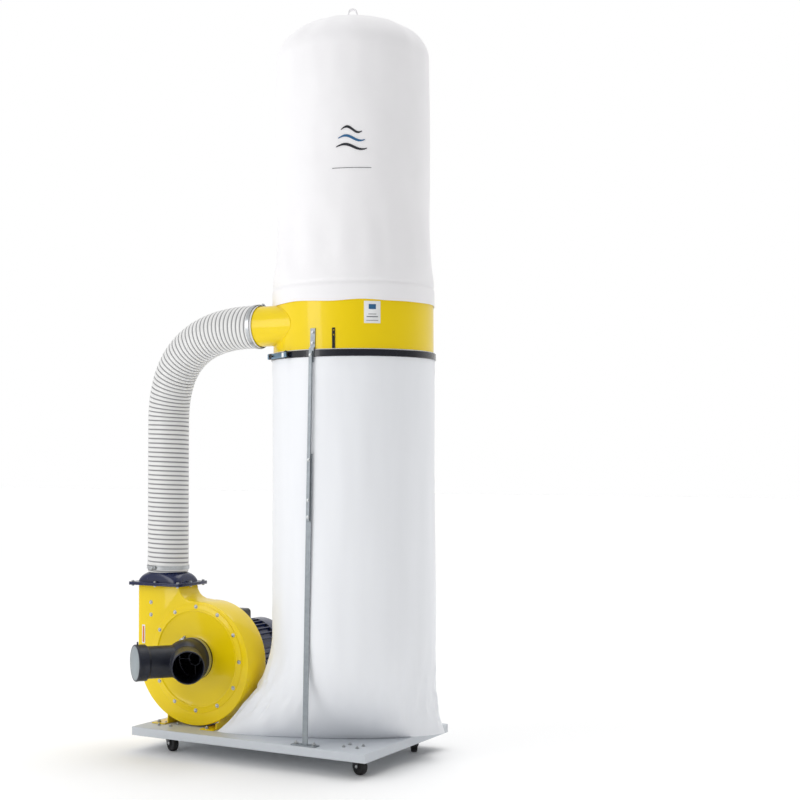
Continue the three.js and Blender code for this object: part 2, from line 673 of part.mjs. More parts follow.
// The switch box sits on the motor; its underside follows the motor's round back.
function switchBox() {
  const [length, width, height] = SWITCH.size;
  const low = MOTOR.radius - 30;
  const high = MOTOR.radius + height;
  const [x0, y0] = [SWITCH.x - FAN.x - length / 2, SWITCH.y - width / 2];
  const corner = 12;
  const face = new THREE.Shape();
  face.moveTo(x0, low);
  face.lineTo(x0, high - corner);
  face.absarc(x0 + corner, high - corner, corner, Math.PI, Math.PI / 2, true);
  face.absarc(x0 + length - corner, high - corner, corner, Math.PI / 2, 0, true);
  face.lineTo(x0 + length, low);
  const box = crosswise(face, y0, y0 + width, 5);
  const motor = alongY(disc(MOTOR.radius + GAP, y0 - 5, y0 + width + 5, 64));
  const hollow = block([x0 + 4, y0 + SWITCH.wall, low - 1],
    [x0 + length - 4, y0 + width - SWITCH.wall, high - corner]);
  const hole = (x) => alongY(disc(SWITCH.button + 0.4, y0 + width - 8, y0 + width + 2, 24))
    .translate(x, 0, high - 24);
  return cut(box, motor, hollow, ...buttonPlaces().map(hole));
}

const buttonPlaces = () => [-16, 16].map((x) => SWITCH.x - FAN.x + x);

function pushButton(x) {
  const face = SWITCH.y + SWITCH.size[1] / 2;
  return alongY(turned([[0, face - 8], [SWITCH.button, face - 8], [SWITCH.button, face + 4],
    [SWITCH.button - 1, face + 5], [0, face + 5]], 24)).translate(x, 0, MOTOR.radius + SWITCH.size[2] - 24);
}

function cableGland() {
  const x = SWITCH.x - FAN.x - SWITCH.size[0] / 2 - GAP;
  const gland = turned([[0, 0], [11, 0], [11, 8], [8, 8], [8, 20], [4, 26], [4, 2], [0, 2]], 20);
  return alongHeading(gland, 180).translate(x, SWITCH.y, MOTOR.radius + 20);
}

// A bent-sheet foot between the deck and the scroll's underside.
function fanFoot(x, outward, y0, y1) {
  const low = PLATE.top + GAP - FAN.z;
  const reach = 48;
  const web = block([x - 1.5, y0 + 20, low], [x + 1.5, y1 - 20, -140]);
  const [a, b] = [x + outward * 1.5, x + outward * -reach].sort((p, q) => p - q);
  const foot = join(web, block([a, y0, low], [b, y1, low + 3]));
  const room = crosswise(scroll(-GAP), FAN.front - GAP, fanBack + GAP, 6);
  const behind = block([x - 9, fanBack - 1, low + 20], [x + 9, y1 + 1, -100]);
  const before = block([x - 9, y0 - 1, low + 20], [x + 9, FAN.front + 1, -100]);
  return cut(foot, room, behind, before);
}

// ---- the assembly ----

add('base_plate', basePlate(), 'deck');
addCasters();
add('filter_ring', filterRing(), 'yellow', atRing);
addLegs();
add('hanger_strip', hangerStrip(), 'black', atRing);
add('band_clamp', bandClamp(), 'black', atRing);
add('band_latch', bandLatch(), 'steel', atRing);
add('collection_bag', collectionBag(), 'film', atRing);
add('filter_bag', filterBag(), 'cloth', atRing);
add('hanging_loop', hangingLoop().rotateZ(radians(EAR.heading)), 'cloth', atRing);

add('fan_housing', fanHousing(), 'yellow', axis);
add('fan_front_cover', frontCover(), 'yellow', axis);
add('inlet_guard', inletGuard(), 'inlet', axis);
add('impeller', impeller(), 'casting', axis);
add('wye_inlet', wyeInlet(), 'inlet', axis);
add('inlet_cap', inletCap(), 'capface', axis);
add('fan_foot_left', fanFoot(-110, 1, -200, -20), 'yellow', axis);
add('fan_foot_right', fanFoot(86, 1, -216, -20), 'yellow', axis);

add('duct_flange', ductFlange(), 'navy');
add('outlet_hood', outletHood(), 'navy');
add('hose', hose(), 'hose');
addClamp('inlet', WYE.base, (piece) =>
  alongY(piece.rotateZ(radians(-125))).translate(FAN.x, coverFront - 16, FAN.z));
addClamp('hose_lower', HOSE.outer, (piece) => piece.rotateZ(radians(-100)).translate(ductX, ductY, 572));
addClamp('hose_upper', HOSE.outer, (piece) =>
  alongHeading(piece.rotateZ(radians(150)), 0).translate(stubX - 12, RING.y + STUB.y, STUB.z));

add('motor_front_bell', motorFrontBell(), 'navy', axis);
add('motor_body', motorBody(), 'navy', axis);
add('motor_rear_bell', motorRearBell(), 'navy', axis);
add('fan_cowl', fanCowl(), 'navy', axis);
add('front_bearing', bearing(MOTOR.front + 9, MOTOR.front + 25), 'steel', axis);
add('rear_bearing', bearing(MOTOR.bodyBack + 1, MOTOR.bodyBack + 14), 'steel', axis);
add('stator', stator(), 'casting', axis);
add('rotor_core', rotorCore(), 'casting', axis);
add('motor_shaft', motorShaft(), 'steel', axis);
add('cooling_fan', coolingFan(), 'black', axis);
add('switch_box', switchBox(), 'black', axis);
buttonPlaces().forEach((x, i) => add(['start_button', 'stop_button'][i], pushButton(x), ['green', 'red'][i], axis));
add('cable_gland', cableGland(), 'black', axis);

// Put the origin on the floor, under the middle of the whole outline.
stand.updateMatrixWorld(true);
const extent = new THREE.Box3().setFromObject(stand, true);
stand.position.set(-(extent.min.x + extent.max.x) / 2, -(extent.min.y + extent.max.y) / 2, 0);

export default new THREE.Group().add(stand);
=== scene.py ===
from math import copysign, cos, degrees, exp, pi, radians, sin, sqrt

import bpy
from mathutils import Matrix, Vector, noise


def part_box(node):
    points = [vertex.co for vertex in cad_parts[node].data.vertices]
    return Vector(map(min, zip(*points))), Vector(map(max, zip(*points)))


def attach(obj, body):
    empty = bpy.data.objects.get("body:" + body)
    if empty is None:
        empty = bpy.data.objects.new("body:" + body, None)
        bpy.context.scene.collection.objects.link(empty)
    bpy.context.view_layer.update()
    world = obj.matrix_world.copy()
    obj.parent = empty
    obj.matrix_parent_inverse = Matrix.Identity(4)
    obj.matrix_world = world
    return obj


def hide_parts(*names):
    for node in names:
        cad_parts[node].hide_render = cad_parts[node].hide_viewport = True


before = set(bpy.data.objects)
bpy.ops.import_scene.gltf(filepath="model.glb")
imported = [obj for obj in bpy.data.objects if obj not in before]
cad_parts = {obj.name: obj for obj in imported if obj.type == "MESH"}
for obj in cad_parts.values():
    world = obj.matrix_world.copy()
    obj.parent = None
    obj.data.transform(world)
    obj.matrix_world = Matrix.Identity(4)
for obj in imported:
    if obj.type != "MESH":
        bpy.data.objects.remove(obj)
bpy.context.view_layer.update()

STAND = "stand"
RIGHT, BACK, UP = Vector((1, 0, 0)), Vector((0, 1, 0)), Vector((0, 0, 1))
MM = 0.001


def middle(node):
    low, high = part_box(node)
    return (Vector(low) + Vector(high)) / 2


def low(node):
    return Vector(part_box(node)[0])


def high(node):
    return Vector(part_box(node)[1])


# ---- places, all from the frame ----

DECK = high("base_plate").z
PLATE_MIDDLE = middle("base_plate")
RING = Vector((middle("filter_bag").x, middle("filter_bag").y, 0))
RING_RADIUS = 0.250
RING_LOW, RING_HIGH = low("filter_ring").z, high("filter_ring").z
BAND_LOW, BAND_HIGH = low("band_clamp").z, high("band_clamp").z
STUB = Vector((RING.x - 0.255, RING.y - 0.171, RING_HIGH - 0.106))
DUCT_RADIUS = 0.0625
FAN = middle("motor_shaft")
FAN_FRONT, FAN_BACK = low("fan_housing").y, high("fan_housing").y
COVER_FRONT = FAN_FRONT - 2.3 * MM
DUCT = middle("duct_flange")
HOSE_END = RING.x - 0.231
JUNCTION = Vector((FAN.x, FAN_FRONT - 0.056, FAN.z))
SPREAD = radians(37.5)
BAG_FOOT, BAG_CROWN, BAG_SHOULDER = low("filter_bag").z, high("filter_bag").z, 2.172
BAG_HEADING = radians(29.5)
BAG_RADIUS = 243 * MM
BRANCH_REACH = 162.5 * MM
LEG_TOP = 1.312
HOOD_TOP = 0.555
FLANGE_SHEET = 5 * MM


# ---- modelling helpers ----

def mm(*pairs, base=0.0):
    """Profile points given in millimetres, the second number of each from a base in metres."""
    return [(r * MM, base + t * MM) for r, t in pairs]


def from_fan(x, y, z):
    """A point beside the fan's axis: x and z from the axis, y in the frame."""
    return Vector((FAN.x + x, y, FAN.z + z))


def nothing_selected():
    if bpy.context.object and bpy.context.object.mode != "OBJECT":
        bpy.ops.object.mode_set(mode="OBJECT")
    bpy.ops.object.select_all(action="DESELECT")


def only(piece):
    nothing_selected()
    piece.select_set(True)
    bpy.context.view_layer.objects.active = piece
    return piece


def named(name):
    """The piece that the last operator made, under its own name."""
    piece = bpy.context.object
    piece.name = piece.data.name = name
    return piece


def baked(piece):
    """The piece's place goes into its mesh."""
    only(piece)
    bpy.ops.object.transform_apply(location=True, rotation=True, scale=True)
    return piece


def modified(piece, kind, **settings):
    only(piece)
    modifier = piece.modifiers.new(kind.lower(), kind)
    for key, value in settings.items():
        setattr(modifier, key, value)
    bpy.ops.object.modifier_apply(modifier=modifier.name)
    return piece


def bevelled(piece, width=0.8 * MM, segments=2, angle=35):
    return modified(piece, "BEVEL", width=width, segments=segments, limit_method="ANGLE",
                    angle_limit=radians(angle), use_clamp_overlap=True)


def cut(piece, *tools):
    for tool in tools:
        modified(piece, "BOOLEAN", operation="DIFFERENCE", object=tool, solver="EXACT")
        bpy.data.objects.remove(tool)
    return piece


def joined(name, *pieces):
    only(pieces[0])
    for piece in pieces[1:]:
        piece.select_set(True)
    if len(pieces) > 1:
        bpy.ops.object.join()
    pieces[0].name = pieces[0].data.name = name
    return pieces[0]


def finished(piece, material, slot, body=STAND, replaces=(), smooth=40):
    """A piece gets its finish, its shading and the body that carries it."""
    baked(piece)
    piece.data.materials.clear()
    piece.data.materials.append(material)
    bpy.ops.object.shade_smooth_by_angle(angle=radians(smooth))
    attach(piece, body)
    if replaces:
        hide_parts(*replaces)
    return piece


def block(name, lowest, highest, edge=1 * MM, segments=2):
    lowest, highest = Vector(lowest), Vector(highest)
    nothing_selected()
    bpy.ops.mesh.primitive_cube_add(size=1, location=(lowest + highest) / 2)
    piece = named(name)
    piece.scale = highest - lowest
    baked(piece)
    return bevelled(piece, edge, segments) if edge else piece


def rod(name, start, end, radius, edge=0.5 * MM, sides=32):
    start, end = Vector(start), Vector(end)
    nothing_selected()
    bpy.ops.mesh.primitive_cylinder_add(vertices=sides, radius=radius, depth=(end - start).length,
                                        location=(start + end) / 2)
    piece = named(name)
    piece.rotation_mode = "QUATERNION"
    piece.rotation_quaternion = UP.rotation_difference(end - start)
    baked(piece)
    return bevelled(piece, edge, 2) if edge else piece


def drawn(name, points, closed=True):
    """A chain of edges drawn vertex by vertex, left in edit mode with all of it selected."""
    nothing_selected()
    bpy.ops.mesh.primitive_plane_add(size=MM, location=points[0])
    piece = named(name)
    bpy.ops.object.mode_set(mode="EDIT")
    bpy.ops.mesh.merge(type="CENTER")
    for before, after in zip(points, points[1:]):
        step = Vector(after) - Vector(before)
        bpy.ops.mesh.extrude_region_move(TRANSFORM_OT_translate={"value": step})
    bpy.ops.mesh.select_all(action="SELECT")
    if closed:
        bpy.ops.mesh.edge_face_add()
    return piece


def tidy_faces():
    bpy.ops.mesh.select_all(action="SELECT")
    bpy.ops.mesh.remove_doubles(threshold=1e-5)
    bpy.ops.mesh.normals_make_consistent(inside=False)
    bpy.ops.object.mode_set(mode="OBJECT")


def turned(name, profile, origin, axis=UP, steps=64):
    """A profile of (radius, distance along the axis) points, in metres, spun round the axis."""
    axis = Vector(axis).normalized()
    side = axis.orthogonal().normalized()
    points = [Vector(origin) + side * r + axis * t for r, t in profile]
    if profile[0][0] > 0:
        points.append(points[0])
    piece = drawn(name, points, closed=False)
    bpy.ops.mesh.spin(steps=steps, angle=2 * pi, center=tuple(origin), axis=tuple(axis))
    tidy_faces()
    return piece


def pipe(name, origin, axis, outer, inner, start, end, edge=0.4 * MM, steps=64):
    wall = [(inner, start + edge), (inner + edge, start), (outer - edge, start), (outer, start + edge),
            (outer, end - edge), (outer - edge, end), (inner + edge, end), (inner, end - edge)]
    return turned(name, wall, origin, axis, steps)


def extruded(name, points, depth, edge=0.0, segments=2):
    """A flat outline pushed along a vector into a solid."""
    piece = drawn(name, points)
    bpy.ops.mesh.extrude_region_move(TRANSFORM_OT_translate={"value": depth})
    tidy_faces()
    return bevelled(piece, edge, segments, 50) if edge else piece


def copies(name, model, places):
    """One joined piece of copies of a model that stands at the origin along +Z, as (place, direction)."""
    baked(model)
    made = []
    for place, direction in places:
        turn = UP.rotation_difference(Vector(direction)).to_matrix().to_4x4()
        copy = model.copy()
        copy.data = model.data.copy()
        copy.data.transform(Matrix.Translation(Vector(place)) @ turn)
        bpy.context.collection.objects.link(copy)
        made.append(copy)
    bpy.data.objects.remove(model)
    return joined(name, *made)


def grid_shaped(name, columns, rows, place):
    """A grid whose (around, up) fractions are laid out by a function, with its seam and pole closed."""
    nothing_selected()
    bpy.ops.mesh.primitive_grid_add(x_subdivisions=columns, y_subdivisions=rows, size=1)
    piece = named(name)
    for vertex in piece.data.vertices:
        vertex.co = place(vertex.co.x + 0.5, vertex.co.y + 0.5)
    only(piece)
    bpy.ops.object.mode_set(mode="EDIT")
    tidy_faces()
    return piece


def hex_bolt(size, washer=True, stud=0.0):
    """A hexagon bolt head on its washer, standing along +Z at the origin; size is the thread's diameter."""
    nothing_selected()
    bpy.ops.mesh.primitive_cylinder_add(vertices=6, radius=size * 0.92, depth=size * 0.62,
                                        location=(0, 0, size * 0.16 + size * 0.31))
    head = bevelled(baked(bpy.context.object), size * 0.07, 2, 20)
    pieces = [head]
    if washer:
        pieces.append(turned("washer", [(0, 0), (size * 1.1, 0), (size * 1.1, size * 0.14),
                                        (size, size * 0.18), (0, size * 0.18)], (0, 0, 0), UP, 24))
    if stud:
        pieces.append(rod("stud", (0, 0, 0), (0, 0, stud), size / 2, size * 0.06, 16))
    return joined("bolt", *pieces)


def pan_bolt(size):
    """A domed screw head with a flange, standing along +Z at the origin."""
    dome = [(0, size * 0.62)] + [(size * 0.95 * cos(radians(a)), size * (0.12 + 0.5 * sin(radians(a))))
                                 for a in (75, 60, 45, 30, 15, 0)]
    return turned("screw", dome + [(size * 1.15, size * 0.1), (size * 1.15, 0), (0, 0)], (0, 0, 0), UP, 24)


# ---- finishes ----

def linear(red, green, blue):
    """A display colour of 0 to 255 as scene-linear values."""
    def channel(value):
        value /= 255
        return value / 12.92 if value <= 0.04045 else ((value + 0.055) / 1.055) ** 2.4
    return (channel(red), channel(green), channel(blue), 1)


class Finish:
    """A material under construction: a Principled shader and the nodes that feed it."""

    def __init__(self, name, colour, roughness, metallic=0.0, **sockets):
        self.material = bpy.data.materials.new(name)
        self.material.use_nodes = True
        self.tree = self.material.node_tree
        self.shader = self.tree.nodes["Principled BSDF"]
        self.colour = linear(*colour)
        self.set(**{"Base Color": self.colour, "Roughness": roughness, "Metallic": metallic})
        self.set(**sockets)
        self.coordinates = self.node("ShaderNodeTexCoord")
        self.bump = None

    def set(self, **values):
        for name, value in values.items():
            self.shader.inputs[name.replace("_", " ")].default_value = value

    def node(self, kind, **settings):
        node = self.tree.nodes.new(kind)
        for name, value in settings.items():
            setattr(node, name, value)
        return node

    def link(self, output, target):
        self.tree.links.new(output, target)

    def noise(self, scale, detail=3, roughness=0.55, stretch=None):
        texture = self.node("ShaderNodeTexNoise")
        texture.inputs["Scale"].default_value = scale
        texture.inputs["Detail"].default_value = detail
        texture.inputs["Roughness"].default_value = roughness
        if stretch:
            mapping = self.node("ShaderNodeMapping")
            mapping.inputs["Scale"].default_value = stretch
            self.link(self.coordinates.outputs["Object"], mapping.inputs["Vector"])
            self.link(mapping.outputs["Vector"], texture.inputs["Vector"])
        else:
            self.link(self.coordinates.outputs["Object"], texture.inputs["Vector"])
        return texture.outputs["Fac"]

    def ramp(self, factor, *stops):
        ramp = self.node("ShaderNodeValToRGB")
        elements = ramp.color_ramp.elements
        elements[0].position, elements[0].color = stops[0]
        elements[1].position, elements[1].color = stops[-1]
        for position, colour in stops[1:-1]:
            elements.new(position).color = colour
        self.link(factor, ramp.inputs["Fac"])
        return ramp.outputs["Color"]

    def varied_colour(self, factor, darker, lighter=1.0):
        dark = tuple(c * darker for c in self.colour[:3]) + (1,)
        light = tuple(min(1, c * lighter) for c in self.colour[:3]) + (1,)
        self.link(self.ramp(factor, (0.3, dark), (0.7, light)), self.shader.inputs["Base Color"])

    def varied_roughness(self, factor, least, most):
        scale = self.node("ShaderNodeMapRange")
        scale.inputs["To Min"].default_value = least
        scale.inputs["To Max"].default_value = most
        self.link(factor, scale.inputs["Value"])
        self.link(scale.outputs["Result"], self.shader.inputs["Roughness"])

    def bumped(self, height, strength, distance):
        bump = self.node("ShaderNodeBump")
        bump.inputs["Strength"].default_value = strength
        bump.inputs["Distance"].default_value = distance
        self.link(height, bump.inputs["Height"])
        if self.bump:
            self.link(self.bump.outputs["Normal"], bump.inputs["Normal"])
        self.bump = bump
        self.link(bump.outputs["Normal"], self.shader.inputs["Normal"])


def powder_coat(name, colour, roughness=0.32, coat=0.2, specular=0.35):
    finish = Finish(name, colour, roughness, Coat_Weight=coat, Coat_Roughness=0.06,
                    Specular_IOR_Level=specular)
    finish.varied_colour(finish.noise(9, 4), 0.965, 1.0)
    finish.varied_roughness(finish.noise(38, 4), roughness - 0.05, roughness + 0.08)
    finish.bumped(finish.noise(650, 2), 0.12, 0.0004)
    finish.bumped(finish.noise(26, 1), 0.06, 0.002)
    return finish.material


def plated_steel(name, colour, roughness=0.3):
    finish = Finish(name, colour, roughness, 0.9)
    finish.varied_colour(finish.noise(60, 5, 0.6), 0.86, 1.05)
    finish.varied_roughness(finish.noise(180, 4), roughness - 0.08, roughness + 0.14)
    finish.bumped(finish.noise(900, 2, stretch=(1, 1, 0.08)), 0.1, 0.0003)
    return finish.material


def cast_metal(name, colour):
    finish = Finish(name, colour, 0.5, 0.8)
    finish.varied_colour(finish.noise(45, 5), 0.8, 1.05)
    finish.bumped(finish.noise(500, 4, 0.7), 0.35, 0.0006)
    return finish.material


def moulded_plastic(name, colour, roughness=0.42, grain=0.2):
    finish = Finish(name, colour, roughness, Specular_IOR_Level=0.5)
    finish.varied_colour(finish.noise(14, 4), 0.88, 1.12)
    finish.varied_roughness(finish.noise(70, 4), roughness - 0.07, roughness + 0.1)
    finish.bumped(finish.noise(1400, 3, 0.7), grain, 0.0004)
    return finish.material


def rubber(name, colour):
    finish = Finish(name, colour, 0.62)
    finish.varied_colour(finish.noise(40, 5), 0.7, 1.4)
    finish.bumped(finish.noise(800, 3), 0.25, 0.0005)
    return finish.material


def felt(name, colour):
    finish = Finish(name, colour, 0.92, Sheen_Weight=0.25, Sheen_Roughness=0.6)
    finish.varied_colour(finish.noise(5, 5), 0.965, 1.0)
    finish.bumped(finish.noise(1100, 5, 0.75), 0.35, 0.0005)
    finish.bumped(finish.noise(9, 3), 0.18, 0.006)
    return finish.material


def film(name, colour):
    finish = Finish(name, colour, 0.45, Sheen_Weight=0.1, Sheen_Roughness=0.5)
    # Painted shade: the colour runs a little darker in long vertical streaks, standing for the shade of the
    # film's vertical folds.
    finish.varied_colour(finish.noise(2.2, 3, stretch=(3, 3, 0.3)), 0.93, 1.0)
    finish.varied_roughness(finish.noise(18, 4), 0.38, 0.56)
    finish.bumped(finish.noise(14, 4, 0.55, stretch=(1, 1, 0.35)), 0.22, 0.006)
    return finish.material


YELLOW = powder_coat("yellow powder coat", (246, 214, 0), coat=0.35, specular=0.22)
NAVY = powder_coat("navy gloss paint", (11, 24, 68), 0.24, 0.3)
MOTOR_NAVY = powder_coat("motor navy paint", (10, 24, 66), 0.32, 0.35)
DECK_GREY = powder_coat("silver grey powder coat", (200, 205, 211), 0.4, 0.2)
BLACK_PAINT = powder_coat("black gloss paint", (10, 13, 27), 0.25, 0.4)
POLE_STEEL = plated_steel("zinc plated bar", (146, 152, 157), 0.44)
ZINC = plated_steel("bright zinc", (186, 189, 191), 0.28)
# Painted reflection: the plated steel is tinted blue, standing for the blue reflections on the glossy latch
# lever.
BLUE_REFLECTION_STEEL = plated_steel("steel with painted blue reflection", (122, 150, 172), 0.28)
CAST = cast_metal("cast alloy", (140, 143, 147))
INLET_PLASTIC = moulded_plastic("inlet plastic", (20, 25, 40), 0.4, 0.3)
GUARD_PLASTIC = moulded_plastic("guard plastic", (165, 170, 182), 0.4, 0.2)
# Painted reflection: the cap's face is a mid grey, much lighter than the black cap plastic, standing for the
# sheen of the glossy black face.
CAP_FACE_PAINTED_REFLECTION = moulded_plastic("cap face painted reflection", (140, 149, 154), 0.5, 0.15)
BLACK_PLASTIC = moulded_plastic("black plastic", (18, 19, 22), 0.4, 0.25)
TYRE = rubber("wheel rubber", (16, 16, 17))
FELT = felt("white needle felt", (247, 246, 248))
FILM = film("milky film", (243, 245, 249))
LABEL = moulded_plastic("label stock", (240, 241, 242), 0.35, 0.05)
LABEL_PRINT = moulded_plastic("label print", (70, 76, 84), 0.4, 0.05)
EMBLEM_DARK = moulded_plastic("dark printing ink", (34, 36, 44), 0.7, 0.05)
EMBLEM_BLUE = moulded_plastic("blue printing ink", (40, 96, 140), 0.7, 0.05)
GREEN = moulded_plastic("green button", (20, 135, 62), 0.3, 0.05)
RED = moulded_plastic("red button", (180, 30, 24), 0.3, 0.05)
ORANGE = moulded_plastic("orange label stock", (226, 120, 30), 0.4, 0.05)


# ---- camera, light and floor ----

def white_studio():
    """White wherever it is looked at, but it gives less light from the right, as a dark flag would."""
    world = bpy.data.worlds.new("studio")
    world.use_nodes = True
    tree = world.node_tree
    direction = tree.nodes.new("ShaderNodeTexCoord")
    towards = tree.nodes.new("ShaderNodeVectorMath")
    towards.operation = "DOT_PRODUCT"
    towards.inputs[1].default_value = Vector((0.87, -0.45, -0.1)).normalized()
    fall = tree.nodes.new("ShaderNodeMapRange")
    fall.interpolation_type = "SMOOTHSTEP"
    for name, value in (("From Min", 0.05), ("From Max", 0.75), ("To Min", 0.84), ("To Max", 0.34)):
        fall.inputs[name].default_value = value
    tree.links.new(direction.outputs["Generated"], towards.inputs[0])
    tree.links.new(towards.outputs["Value"], fall.inputs["Value"])
    unseen = tree.nodes.new("ShaderNodeMath")
    unseen.operation = "MAXIMUM"
    tree.links.new(fall.outputs["Result"], unseen.inputs[0])
    tree.links.new(tree.nodes.new("ShaderNodeLightPath").outputs["Is Camera Ray"], unseen.inputs[1])
    tree.links.new(unseen.outputs["Value"], tree.nodes["Background"].inputs["Strength"])
    tree.nodes["Background"].inputs["Color"].default_value = (1, 1, 1, 1)
    bpy.context.scene.world = world


def lamp(name, kind, place, aim, power, **settings):
    light = bpy.data.lights.new(name, kind)
    light.energy = power
    for key, value in settings.items():
        setattr(light, key, value)
    holder = bpy.data.objects.new(name, light)
    holder.location = place
    holder.rotation_mode = "QUATERNION"
    holder.rotation_quaternion = (Vector(aim) - Vector(place)).to_track_quat("-Z", "Y")
    bpy.context.collection.objects.link(holder)


def studio():
    upward_tilt, heading = radians(2.316), radians(31.26)
    camera_data = bpy.data.cameras.new("camera")
    camera_data.sensor_width, camera_data.lens = 36, 64.92
    camera_data.shift_x, camera_data.shift_y = 0.1446, -0.0014
    camera = bpy.data.objects.new("camera", camera_data)
    camera.location = (PLATE_MIDDLE.x + 2.383, PLATE_MIDDLE.y - 3.964, 0.928)
    camera.rotation_euler = (pi / 2 + upward_tilt, 0, heading)
    bpy.context.collection.objects.link(camera)
    bpy.context.scene.camera = camera

    white_studio()
    bpy.context.scene.view_settings.view_transform = "Standard"
    lamp("left softbox", "AREA", (-1.6, -3.4, 1.9), (0, 0, 0.9), 33,
         shape="RECTANGLE", size=1.4, size_y=2.4)
    lamp("overhead", "SUN", (0.5, 1.6, 4), (0, 0, 0), 1.0, angle=radians(50))

    nothing_selected()
    bpy.ops.mesh.primitive_plane_add(size=60, location=(0, 0, 0))
    floor = bpy.context.object
    floor.name = "floor"
    pale = Finish("pale floor", (254, 254, 254), 0.9, Specular_IOR_Level=0.1)
    pale.varied_colour(pale.noise(2, 2), 0.995, 1.0)
    floor.data.materials.append(pale.material)


# ---- base plate ----

def base_plate():
    lowest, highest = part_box("base_plate")
    sheet = 3 * MM
    pan = block("base_plate_pan", lowest, highest, 0)
    inner = block("inside", (lowest[0] + sheet, lowest[1] + sheet, lowest[2] - 0.01),
                  (highest[0] - sheet, highest[1] - sheet, highest[2] - sheet), 0)
    cut(pan, inner)
    bevelled(pan, 2.4 * MM, 4, 50)
    finished(pan, DECK_GREY, "deck_steel", replaces=["base_plate"])


def caster_corner(name):
    plate = middle(f"caster_plate_{name}")
    return Vector((plate.x, plate.y, 0))


def casters():
    deck_bolts = []
    for name in ("front_right", "front_left", "back_right", "back_left"):
        corner = caster_corner(name)
        wheel = middle(f"caster_wheel_{name}")
        axle = Vector((wheel.x, wheel.y, 0.025))
        trail = (axle - corner).xy.to_3d().normalized()
        side = UP.cross(trail)
        caster_wheel(name, axle, side)
        caster_fork(name, corner, axle, trail, side)
        caster_plate(name, corner)
        deck_bolts += [((corner.x + 22.5 * MM * i, corner.y + 19 * MM * j, DECK), UP)
                       for i in (-1, 1) for j in (-1, 1)]
    finished(copies("caster_deck_nuts", hex_bolt(5.5 * MM, stud=7 * MM), deck_bolts), ZINC, "zinc_steel")


def caster_wheel(name, axle, side):
    r, half = 25 * MM, 10 * MM
    shoulder = [(r - 5 * MM + 5 * MM * cos(a), half - 4 * MM + 4 * MM * sin(a))
                for a in [radians(d) for d in (0, 22, 45, 68, 90)]]
    edge = mm((3.3, 0.4), (7.5, 0.4), (8.5, -1), (15.5, -2.2), (16.5, -0.2), base=half)
    profile = [(x, -t) for x, t in edge] + [(x, -t) for x, t in reversed(shoulder)] + shoulder
    profile += list(reversed(edge))
    wheel = turned(f"wheel_{name}", profile, axle, side, 56)
    finished(wheel, TYRE, "wheel_rubber", f"wheel_{name}", [f"caster_wheel_{name}"])


def caster_fork(name, corner, axle, trail, side):
    top = high(f"caster_fork_{name}").z

    def at(u, z, out):
        return corner + trail * u + side * out + UP * z

    outline = [(-15 * MM, top), (-15.5 * MM, top - 8 * MM), (18 * MM, 20 * MM)]
    reach = (axle - corner).xy.length
    outline += [(reach + 8.5 * MM * cos(radians(a)), 25 * MM + 8.5 * MM * sin(radians(a)))
                for a in range(225, 391, 15)]
    outline += [(20 * MM, top - 7 * MM), (16 * MM, top)]
    pieces = []
    for inner in (11.2 * MM, -13.2 * MM):
        points = [at(u, z, inner) for u, z in outline]
        pieces.append(extruded("cheek", points, side * 2 * MM, 0.7 * MM))
    roof = [at(u, top - 2.4 * MM, out) for u, out in
            ((-15 * MM, -13.2 * MM), (16 * MM, -13.2 * MM), (16 * MM, 13.2 * MM), (-15 * MM, 13.2 * MM))]
    pieces.append(extruded("roof", roof, UP * 2.4 * MM, 0.8 * MM))
    finished(joined(f"fork_{name}", *pieces), BLACK_PAINT, "black_steel", f"fork_{name}",
             [f"caster_fork_{name}"])
    ends = [rod("axle", axle - side * 13.1 * MM, axle + side * 13.1 * MM, 3 * MM, 0.3 * MM, 20)]
    ends += [rod("nut", axle + side * s * 13.2 * MM, axle + side * s * 15.6 * MM, 5 * MM, 0.5 * MM, 6)
             for s in (-1, 1)]
    finished(joined(f"axle_{name}", *ends), ZINC, "zinc_steel", f"fork_{name}")


def caster_plate(name, corner):
    bottom, top = low(f"caster_plate_{name}").z, high(f"caster_plate_{name}").z
    half = 30 * MM
    plate = block("plate", corner + Vector((-half, -half, top - 2.5 * MM)),
                  corner + Vector((half, half, top)), 0.9 * MM)
    cup = mm((0, -7.5), (13, -7.5), (15, -6), (15, -4), (18, -2.4), (0, -2.4), base=top)
    race = turned("race", cup, corner, UP, 40)
    shank = mm((0, 0), (5.6, 0), (7, 1.4), (7, 2.4), (4, 2.6), base=bottom)
    pin = turned("king_pin", shank + mm((4, -7), (0, -7), base=top), corner, UP, 24)
    finished(joined(f"caster_mount_{name}", plate, race, pin), ZINC, "zinc_steel",
             replaces=[f"caster_plate_{name}"])


# ---- ring, band, legs ----

def filter_ring():
    r, bottom, top = RING_RADIUS, RING_LOW, RING_HIGH
    bead = BAND_LOW - 3 * MM
    profile = [(r - 2 * MM, bottom), (r, bottom), (r + 0.8 * MM, bottom + 1.2 * MM),
               (r + 0.8 * MM, bead - 1.5 * MM), (r, bead), (r, top - 4 * MM), (r + 0.6 * MM, top - 3 * MM),
               (r + 0.6 * MM, top - 1 * MM), (r - 1 * MM, top), (r - 2 * MM, top)]
    drum = turned("ring_drum", profile, RING, UP, 160)
    cut(drum, rod("bore", STUB, STUB + RIGHT * 0.2, DUCT_RADIUS - 1.5 * MM, 0, 72))
    finished(drum, YELLOW, "painted_yellow", replaces=["filter_ring"], smooth=30)

    stub = pipe("ring_stub", STUB, RIGHT, DUCT_RADIUS, DUCT_RADIUS - 1.5 * MM, 0, 0.19, 0.3 * MM, 72)
    cut(stub, rod("inside", RING + UP * 1.2, RING + UP * 1.5, RING_RADIUS - 1 * MM, 0, 160))
    finished(stub, YELLOW, "painted_yellow", smooth=30)
    stub_weld()


